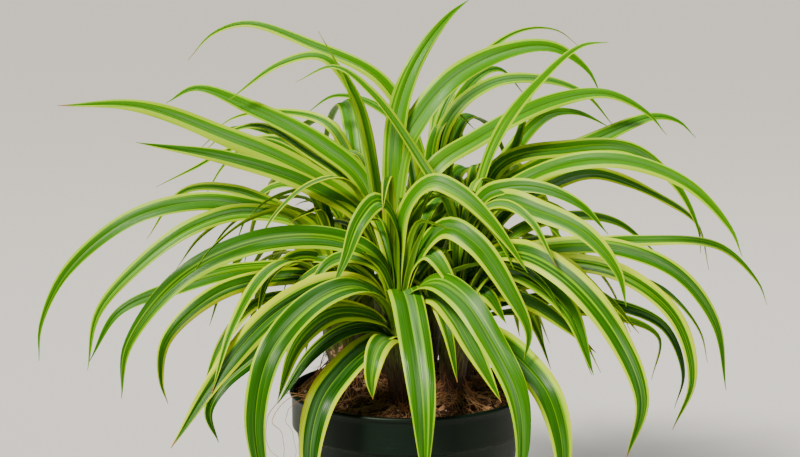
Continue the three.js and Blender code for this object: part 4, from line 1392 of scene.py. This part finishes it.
class SPIDERPLANT_OT_pot(bpy.types.Operator):
    """Turn the nursery pot, with its rolled rim and drain holes"""

    bl_idname = "spiderplant.pot"
    bl_label = "Nursery pot"

    def execute(self, context):
        shape = Shape()
        shape.add(*turned(pot_profile(), POT_SIDES))
        material = moulded_polypropylene("moulded_polypropylene_dark_green", context.scene.spider_plant.pot)
        piece = shape.make("nursery_pot", [material], "pot", POT_SHARP)

        drills = Shape()
        low, high = -DRILL_REACH, DRILL_REACH
        drill, faces = turned([(0, low), (DRAIN_RADIUS, low), (DRAIN_RADIUS, high), (0, high)], DRILL_SIDES)
        for hole in range(DRAIN_HOLES):
            x, y = polar(DRAIN_CIRCLE, hole * math.tau / DRAIN_HOLES)
            drills.add(drill + (x, y, 0), faces)
        cutter = bpy.data.objects.new("drills", drills.mesh("drills"))
        context.scene.collection.objects.link(cutter)
        cut = piece.modifiers.new("drain_holes", "BOOLEAN")
        cut.operation = "DIFFERENCE"
        cut.object = cutter
        context.view_layer.update()
        drilled = bpy.data.meshes.new_from_object(piece.evaluated_get(context.evaluated_depsgraph_get()))
        piece.modifiers.clear()
        piece.data = drilled
        drilled.set_sharp_from_angle(angle=math.radians(POT_SHARP))
        bpy.data.objects.remove(cutter)
        return {"FINISHED"}


class SPIDERPLANT_OT_mix(bpy.types.Operator):
    """Fill the pot with its mix, with a fine rough top"""

    bl_idname = "spiderplant.mix"
    bl_label = "Potting mix"

    def execute(self, context):
        shape = Shape()
        mix_body(shape)
        material = coir_mix("coir_and_bark_mix_packed", context.scene.spider_plant.mix)
        shape.make("mix_body", [material], "potting_mix", sharp=60)
        return {"FINISHED"}


class SPIDERPLANT_OT_litter(bpy.types.Operator):
    """Scatter bark chips, coir fibres, fine roots and pale crumbs over the mix"""

    bl_idname = "spiderplant.litter"
    bl_label = "Bark, coir and fine roots"

    def execute(self, context):
        mix = context.scene.spider_plant.mix
        pick = random.Random(LITTER_SEED)

        # Bark and pale crumbs lie all over the mix. Pale bits of old root and bark cover the mound at the
        # left crown and the front of its stem.
        shape = Shape()
        chips(shape, pick, mix.chips, on_mix, long=(1.0, 3.2), flat=(0.3, 0.6), proud=0.2)
        chips(shape, pick, mix.chips // 10, on_mix, long=(3.0, 5.5), flat=(0.25, 0.45), proud=0.25)
        chips(shape, pick, mix.crumbs, on_mix, long=(0.6, 1.5), flat=(0.7, 1.0), proud=0.4, slot=1)
        chips(shape, pick, mix.crumbs * 3, on_mound, long=(1.2, 3.0), flat=(0.4, 0.8), proud=0.3, slot=2)
        chips(shape, pick, mix.crumbs, on_left_stem, long=(1.0, 2.4), flat=(0.6, 1.0), proud=0.3, slot=2)
        bark = plant_litter("bark_chips_composted", mix.bark_dark, mix.bark_light, 1.2, 0.9)
        crumb = plant_litter("porous_crumb_pale", mix.crumb_dark, mix.crumb_light, 0.8, 0.95)
        knob = plant_litter("old_root_stub_dry", mix.bark_light, mix.crumb_dark, 1.5, 0.85)
        shape.make("bark_chips", [bark, crumb, knob], "potting_mix", sharp=35)

        shape = Shape()
        for _ in range(mix.fibres):
            start = on_mix(pick, 0)[:2]
            heading = pick.uniform(*ANY_TURN)
            fibre(shape, pick, start, heading, long=(10, 34), radius=(0.1, 0.2), hump=(0.2, 2.2), slot=0)
        for _ in range(mix.roots):
            foot = pick.choice(CROWNS).foot
            away = pick.uniform(*ANY_TURN)
            start = np.add(foot, polar(ROOT_START, away))
            fibre(shape, pick, start, away, (24, 62), (0.16, 0.34), (0.5, 4.5), slot=1, bend=0.24)
        coir = plant_litter("coir_fibre_loose", mix.coir_dark, mix.coir_light, 3.0, 0.75)
        root = plant_litter("fine_root_dry", mix.root_dark, mix.root_light, 4.0, 0.7)
        shape.make("coir_and_roots", [coir, root], "potting_mix", sharp=80)
        return {"FINISHED"}


class SPIDERPLANT_OT_wiry_roots(bpy.types.Operator):
    """Twine wiry roots round the foot of each stem"""

    bl_idname = "spiderplant.wiry_roots"
    bl_label = "Wiry roots"

    def execute(self, context):
        mix = context.scene.spider_plant.mix
        shape = Shape()
        pick = random.Random(WIRY_SEED)
        for crown in CROWNS:
            for _ in range(mix.wiry_roots):
                wiry_root(shape, pick, crown)
        root = plant_litter("wiry_root_fresh", mix.wiry_dark, mix.wiry_light, 3.0, 0.6)
        shape.make("wiry_roots", [root], "potting_mix", sharp=80)
        return {"FINISHED"}


class HangingRoot(NamedTuple):
    """A loose root that hangs over the rim at the left: its radius, and points on its route."""

    radius: float
    route: list


# Each root's number of points, how far it shakes, and how many radians its waves go through along it
HANGING_POINTS = 60
HANGING_SHAKE = 0.35
SHAKE_TURNS = (30, 50)
HANGING_ROOTS = [
    HangingRoot(0.32, [
        (-52, -22, 121), (-64, -29, 124), (-74, -33, 127.5), (-84, -36, 121), (-89, -36, 111),
        (-82.5, -35, 101), (-82, -35, 86), (-80, -35, 68), (-81, -34, 52),
    ]),
    HangingRoot(0.26, [
        (-50, -34, 120), (-60, -38, 123), (-68, -41, 127), (-77, -42, 122), (-80, -40, 113),
        (-76, -38, 104), (-74, -37, 92), (-75, -37, 76),
    ]),
    HangingRoot(0.3, [
        (-58, -14, 120), (-70, -20, 124), (-79, -24, 127), (-90, -29, 117), (-94, -33, 103),
        (-91, -35, 92), (-85, -36, 85), (-82, -37, 72), (-84, -38, 60),
    ]),
    HangingRoot(0.22, [
        (-48, -44, 119), (-56, -51, 124), (-63, -55, 127), (-68, -60, 118), (-69, -60, 104),
        (-67, -59, 90),
    ]),
]


class SPIDERPLANT_OT_hanging_roots(bpy.types.Operator):
    """Hang the thin loose roots over the rim"""

    bl_idname = "spiderplant.hanging_roots"
    bl_label = "Hanging roots"

    def execute(self, context):
        mix = context.scene.spider_plant.mix
        shape = Shape()
        share = np.linspace(0, 1, HANGING_POINTS)
        for number, hanging in enumerate(HANGING_ROOTS):
            path, _ = smooth_path(hanging.route, HANGING_POINTS)
            pick = random.Random(number + HANGING_SEED)
            shake = rows_of(
                *[np.sin(share * pick.uniform(*SHAKE_TURNS) + pick.uniform(*ANY_START)) for _ in range(3)]
            )
            path = path + HANGING_SHAKE * shake
            thread(shape, path, hanging.radius, 0, pick.random(), thinner=0.6, sides=6)
        root = plant_litter("hanging_root_dry", mix.root_dark, mix.root_light, 5.0, 0.7)
        shape.make("hanging_roots", [root], "potting_mix", sharp=80)
        return {"FINISHED"}


class SPIDERPLANT_OT_stems(bpy.types.Operator):
    """Grow each crown's stem, wrapped in leaf sheaths"""

    bl_idname = "spiderplant.stems"
    bl_label = "Stems"

    def execute(self, context):
        material = papery_sheath("leaf_sheath_papery", context.scene.spider_plant.stem)
        for number, crown in enumerate(CROWNS):
            shape = Shape()
            stem(shape, crown, number)
            shape.make(f"stem_{crown.name}", [material], f"crown_{crown.name}")
        return {"FINISHED"}


class SPIDERPLANT_OT_leaves(bpy.types.Operator):
    """Grow each crown's leaves, in two pieces a crown"""

    bl_idname = "spiderplant.leaves"
    bl_label = "Leaves"

    def execute(self, context):
        settings = context.scene.spider_plant.leaf
        upper = waxy_leaf("waxy_leaf_upper_side", settings, False)
        under = waxy_leaf("waxy_leaf_underside", settings, True)
        number = 0
        for crown in CROWNS:
            for half in (0, 1):
                shape = Shape()
                group = crown.leaves[half::2]
                for i, leaf in enumerate(group):
                    strip = (i / len(group), (i + 1) / len(group))
                    blade(shape, crown, leaf, number, strip, settings)
                    number += 1
                shape.make(f"leaves_{crown.name}_{half + 1}", [upper, under], f"crown_{crown.name}")
        return {"FINISHED"}


class SPIDERPLANT_OT_inner_leaves(bpy.types.Operator):
    """Grow the thin leaves that fill the middle of each crown"""

    bl_idname = "spiderplant.inner_leaves"
    bl_label = "Inner leaves"

    def execute(self, context):
        settings = context.scene.spider_plant.leaf
        upper = waxy_leaf("waxy_inner_leaf_upper_side", settings, False)
        under = waxy_leaf("waxy_inner_leaf_underside", settings, True)
        for number, crown in enumerate(CROWNS):
            shape = Shape()
            for i, leaf in enumerate(inner_leaves(crown, number)):
                strip = (i / INNER_LEAVES, (i + 1) / INNER_LEAVES)
                seed = INNER_SEED + number * INNER_LEAVES + i
                blade(shape, crown, leaf, seed, strip, settings, INNER_BLADE_ROWS)
            shape.make(f"inner_leaves_{crown.name}", [upper, under], f"crown_{crown.name}")
        return {"FINISHED"}


class SPIDERPLANT_OT_stage(bpy.types.Operator):
    """Lay the floor and set the soft lights and the camera"""

    bl_idname = "spiderplant.stage"
    bl_label = "Stage"

    def execute(self, context):
        stage = context.scene.spider_plant.stage
        mesh = bpy.data.meshes.new("floor")
        corners = [(x * FLOOR_REACH, y * FLOOR_REACH, 0) for x, y in ((-1, -1), (1, -1), (1, 1), (-1, 1))]
        mesh.from_pydata(corners, [], [(0, 1, 2, 3)])
        mesh.materials.append(matt_paper("studio_paper_matt", stage))
        floor = bpy.data.objects.new("floor", mesh)
        context.scene.collection.objects.link(floor)

        # A large key light from the upper left, a fill from the right, and one over the plant
        for name, kind, spot, strength, wide in (
            ("key_light", "SUN", (-1.3, -1.7, 2.4), stage.key_power, math.radians(14)),
            ("fill_light", "AREA", (1.8, -1.2, 1.1), stage.fill_power, 1.5),
            ("top_light", "AREA", (0.4, 0.5, 2.1), stage.top_power, 1.4),
        ):
            light = bpy.data.lights.new(name, kind)
            light.energy = strength
            if kind == "SUN":
                light.angle = wide
                light.color = stage.warmth[:3]
            else:
                light.size = wide
            lamp = bpy.data.objects.new(name, light)
            lamp.location = spot
            lamp.rotation_euler = (Vector(LIGHTS_AIM) - lamp.location).to_track_quat("-Z", "Y").to_euler()
            context.scene.collection.objects.link(lamp)

        world = context.scene.world or bpy.data.worlds.new("studio")
        context.scene.world = world
        world.use_nodes = True
        tree = world.node_tree
        tree.nodes.clear()
        glow = add_node(tree, "Background", {"Color": linear(GLOW_COLOUR), "Strength": GLOW_STRENGTH})
        add_node(tree, "OutputWorld", {"Surface": glow})

        camera = bpy.data.cameras.new("camera")
        camera.lens = CAMERA_LENS
        camera.sensor_width = CAMERA_SENSOR
        camera.clip_end = CAMERA_REACH
        holder = bpy.data.objects.new("camera", camera)
        holder.location = CAMERA_PLACE
        holder.rotation_euler = (math.radians(CAMERA_TILT), 0, 0)
        context.scene.collection.objects.link(holder)
        context.scene.camera = holder
        return {"FINISHED"}


class SPIDERPLANT_PT_pieces(bpy.types.Panel):
    """The plant's pieces and their settings"""

    bl_label = "Spider plant"
    bl_idname = "SPIDERPLANT_PT_pieces"
    bl_space_type = "VIEW_3D"
    bl_region_type = "UI"
    bl_category = "Spider plant"

    def draw(self, context):
        settings = context.scene.spider_plant
        for operator in OPERATORS:
            self.layout.operator(operator.bl_idname)
        for group in (settings.leaf, settings.stem, settings.mix, settings.pot, settings.stage):
            box = self.layout.box()
            for name in group.bl_rna.properties.keys():
                if name not in ("rna_type", "name"):
                    box.prop(group, name)


OPERATORS = [
    SPIDERPLANT_OT_pot,
    SPIDERPLANT_OT_mix,
    SPIDERPLANT_OT_litter,
    SPIDERPLANT_OT_wiry_roots,
    SPIDERPLANT_OT_hanging_roots,
    SPIDERPLANT_OT_stems,
    SPIDERPLANT_OT_leaves,
    SPIDERPLANT_OT_inner_leaves,
    SPIDERPLANT_OT_stage,
]
CLASSES = [
    LeafSettings,
    StemSettings,
    MixSettings,
    PotSettings,
    StageSettings,
    PlantSettings,
    *OPERATORS,
    SPIDERPLANT_PT_pieces,
]


def register():
    for one in CLASSES:
        bpy.utils.register_class(one)
    bpy.types.Scene.spider_plant = PointerProperty(type=PlantSettings)


def unregister():
    del bpy.types.Scene.spider_plant
    for one in reversed(CLASSES):
        bpy.utils.unregister_class(one)


def main():
    register()
    bpy.ops.spiderplant.pot()
    bpy.ops.spiderplant.mix()
    bpy.ops.spiderplant.litter()
    bpy.ops.spiderplant.wiry_roots()
    bpy.ops.spiderplant.hanging_roots()
    bpy.ops.spiderplant.stems()
    bpy.ops.spiderplant.leaves()
    bpy.ops.spiderplant.inner_leaves()
    bpy.ops.spiderplant.stage()


if __name__ == "__main__":
    main()
